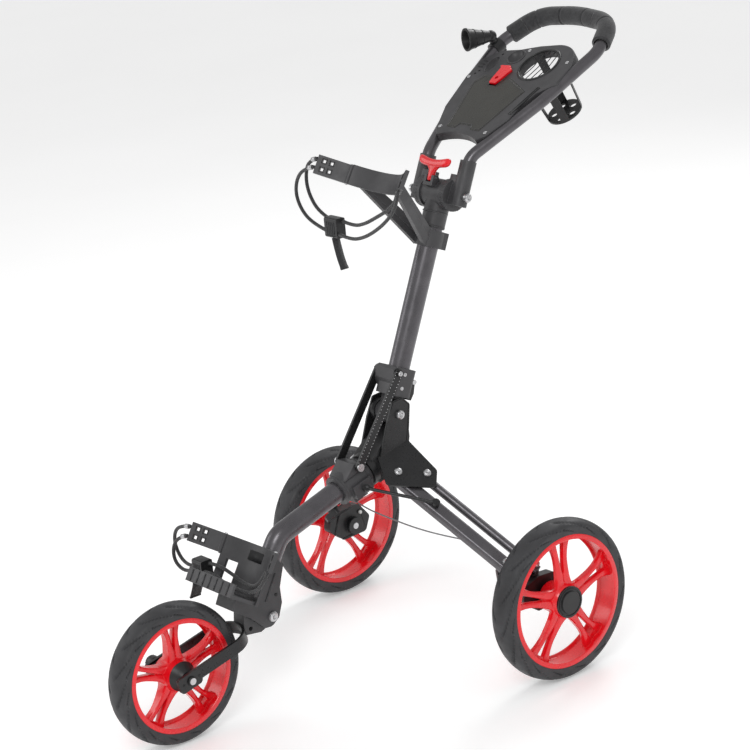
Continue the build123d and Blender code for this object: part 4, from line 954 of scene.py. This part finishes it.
CUP = (0.038, 0.200)
CUP_LIP = [(0.0385, -0.0006), (0.0385, 0.0012), (0.041, 0.0016), (0.0432, 0.0006), (0.0432, -0.0002)]
lip = ring_mesh("cup_lip", CUP_LIP, handle_at(*CUP, CONSOLE_TOP), HANDLE_UP, 96)
piece("cup_lip", lip, BLACK, "handle")
for k, offset in enumerate((-0.018, -0.006, 0.006, 0.018)):
    half = (0.0385 ** 2 - offset ** 2) ** 0.5
    ends = [handle_at(CUP[0] + offset, CUP[1] + way * half, CONSOLE_TOP - 0.003) for way in (-1, 1)]
    middle = handle_at(CUP[0] + offset, CUP[1], CONSOLE_TOP - 0.006)
    wire_curve(f"cup_wire_{k}", [ends[0], middle, ends[1]], 0.0008, BLACK, "handle")

LID = [(-44, 22), (-22, 22), (-18, 32), (14, 32), (18, 22), (42, 22), (63, 130), (2, 158), (-13, 158),
       (-17, 135), (-39, 135), (-41, 158), (-68, 158), (-80, 138)]
LID_MIDDLE = Vector((-6, 90))
inset = []
for corner in LID:
    spot = LID_MIDDLE.lerp(Vector(corner), 0.955) / 1000
    inset.append(handle_at(spot.x, spot.y, CONSOLE_TOP + 0.0004))
wire_curve("lid_edge_line", inset, 0.0007, CHARCOAL, "console_lid", closed=True)

for k, (x, s) in enumerate(((-0.016, 0.233), (0.098, 0.214), (-0.104, 0.150), (0.060, 0.020), (-0.060, 0.020))):
    screw = screw_mesh("screw", handle_at(x, s, CONSOLE_TOP - 0.0004), HANDLE_UP, 0.0036, 0.0016, "cross")
    piece(f"console_screw_{k}", screw, STEEL, "handle")
# Painted shade: flat near-black bars on the console top stand for the shade inside its slots.
for k, s in enumerate((0.178, 0.186, 0.194)):
    slot_shade_bar = block_mesh("slot", handle_at(-0.098, s, CONSOLE_TOP), X, HANDLE, (0.012, 0.0028, 0.0008))
    piece(f"console_slot_shade_{k}", slot_shade_bar, RECESS_SHADE, "handle")
long_slot = block_mesh("long_slot", handle_at(0.082, 0.108, CONSOLE_TOP), Vector((0.14, 0, 0)) + HANDLE, X,
                       (0.074, 0.0065, 0.0008), 0.003)
piece("console_long_slot_shade", long_slot, RECESS_SHADE, "handle")
bowl_lip = ring_mesh("bowl_lip", [(0.0166, 0), (0.0170, 0.0011), (0.0186, 0.0011), (0.0192, 0)],
                     handle_at(-0.034, 0.213, CONSOLE_TOP), HANDLE_UP, 64)
piece("bowl_lip", bowl_lip, CHARCOAL, "handle")

holder_neck = handle_at(-0.124, 0.246, 0.026)
holder_way = Vector((-0.3, -0.93, 0)).normalized()
mouth = ring_mesh("mouth", [(0.0185, -0.003), (0.0182, 0), (0.0212, 0), (0.0214, -0.003)],
                  holder_neck + holder_way * 0.050, holder_way, 64)
piece("umbrella_mouth", mouth, BLACK, "umbrella_holder")
bands = []
for along, r in ((0.018, 0.0133), (0.034, 0.0172)):
    section = [(r - 0.0006, -0.001), (r + 0.0006, -0.0008), (r + 0.0008, 0.0008), (r - 0.0004, 0.001)]
    bands.append(ring_mesh("band", section, holder_neck + holder_way * along, holder_way, 48))
piece("umbrella_bands", join("umbrella_bands", bands), BLACK, "umbrella_holder")

# ================================================================ cradles and buckles

CRADLE_R = 0.110
CRADLE_HALF = 0.068
WING_TURN = atan2(CRADLE_HALF, (CRADLE_R ** 2 - CRADLE_HALF ** 2) ** 0.5)
WING_ROOT = CRADLE_R - ((CRADLE_R + 0.0025) ** 2 - CRADLE_HALF ** 2) ** 0.5
CRADLES = {"lower": ("chassis", Vector((0, -0.252, 0.288))), "upper": ("mast", Vector((0, 0.096, 0.864)))}


def cradle_at(origin, x, inward, down):
    return origin + X * x + BAG_FRONT * inward - BAG * down


for name, (body, origin) in CRADLES.items():
    for side, sign, _ in both_sides((1, 0, 0)):
        root = cradle_at(origin, sign * (CRADLE_HALF + 0.0045 * cos(WING_TURN)), WING_ROOT + 0.002, 0)
        pin = lathe_mesh("pin", [(0.0024, -0.0012), (0.0028, 0), (0.0028, 0.035), (0.0024, 0.0362)],
                         root + BAG * 0.0006, -BAG, 24)
        piece(f"{name}_wing_pin_{side}", pin, STEEL, body)
        out = (X * sign * cos(WING_TURN) + BAG_FRONT * sin(WING_TURN)).normalized()
        face = (X * -sign * sin(WING_TURN) + BAG_FRONT * cos(WING_TURN)).normalized()
        frames = []
        for along, down in ((0.038, 0.009), (0.038, 0.024), (0.052, 0.009), (0.052, 0.024)):
            foot = cradle_at(origin, sign * (CRADLE_HALF + 0.001), WING_ROOT, down)
            spot = foot + out * along + face * 0.0035
            for turn_way, cross in ((out, BAG), (BAG, out)):
                for way in (-1, 1):
                    frames.append(block_mesh("bar", spot + cross * way * 0.0038, turn_way, cross,
                                             (0.0090, 0.0013, 0.0014), 0.0004))
        piece(f"{name}_wing_frames_{side}", join(f"{name}_wing_frames_{side}", frames), CHARCOAL, body)

lower = CRADLES["lower"][1]
# Painted shade: a near-black plate stands for the shade in the lower cradle's recess.
recess = block_mesh("recess", cradle_at(lower, 0, 0.0012, 0.020), X, BAG, (0.044, 0.018, 0.0012), 0.0005)
piece("cradle_recess_shade", recess, RECESS_SHADE, "chassis")
lip_ribs = [block_mesh("rib", cradle_at(lower, x, 0.0787, 0.084), BAG, X, (0.020, 0.0018, 0.0014), 0.0005)
            for x in (-0.052, -0.034, -0.017, 0, 0.017, 0.034, 0.052)]
piece("cradle_lip_ribs", join("cradle_lip_ribs", lip_ribs), CHARCOAL, "chassis")

for name, body in (("upper", "mast"), ("lower", "chassis")):
    low, high = (Vector(corner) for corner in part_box(f"{name}_buckle"))
    middle = (low + high) / 2
    size = high - low
    ridges = []
    for k in range(5):
        spot = Vector((low.x + size.x * (0.2 + 0.15 * k), low.y, middle.z))
        ridges.append(block_mesh("ridge", spot, X, Z, (0.0018, size.z * 0.62, 0.0016), 0.0006))
    # Painted shade: a near-black bar stands for the shade inside each buckle's slot.
    spot = Vector((low.x + size.x * 0.5, low.y, low.z + size.z * 0.12))
    gap_shade = block_mesh("gap_shade", spot, X, Z, (size.x * 0.7, 0.0022, 0.0012), 0.0005)
    piece(f"{name}_buckle_ridges", join(f"{name}_buckle_ridges", ridges), BLACK, body)
    piece(f"{name}_buckle_slot_shade", gap_shade, RECESS_SHADE, body)

# ================================================================ floor, light


def studio():
    """Pale floor that glows a little, under a key light, a fill and a back light."""
    floor = bpy.data.objects.new("floor", mesh_of("floor", [(-9, -9, 0), (9, -9, 0), (9, 9, 0), (-9, 9, 0)],
                                                  [(0, 1, 2, 3)]))
    shader = Shader("floor")
    varied(shader, (0.93, 0.93, 0.93), 0.01, 2)
    shader.set(Roughness=0.85, Emission_Color=(1, 1, 1, 1), Emission_Strength=0.26)
    floor.data.materials.append(shader.material)
    bpy.context.collection.objects.link(floor)
    world = bpy.data.worlds.new("world")
    world.use_nodes = True
    world.node_tree.nodes["Background"].inputs["Color"].default_value = (1, 1, 1, 1)
    world.node_tree.nodes["Background"].inputs["Strength"].default_value = 0.62
    bpy.context.scene.world = world
    middle = Vector((0, 0, 0.5))
    for name, spot, size, power in (("key", (2.2, -2.4, 3.0), 1.6, 42), ("fill", (-2.6, -2.2, 1.9), 1.8, 16),
                                    ("back", (-1.0, 2.8, 2.6), 1.4, 34)):
        data = bpy.data.lights.new(name, "AREA")
        data.shape = "DISK"
        data.size = size
        data.energy = power
        light = bpy.data.objects.new(name, data)
        light.location = spot
        light.rotation_mode = "QUATERNION"
        light.rotation_quaternion = (middle - Vector(spot)).to_track_quat("-Z", "Y")
        bpy.context.collection.objects.link(light)


studio()
bpy.context.scene.view_settings.view_transform = "Standard"
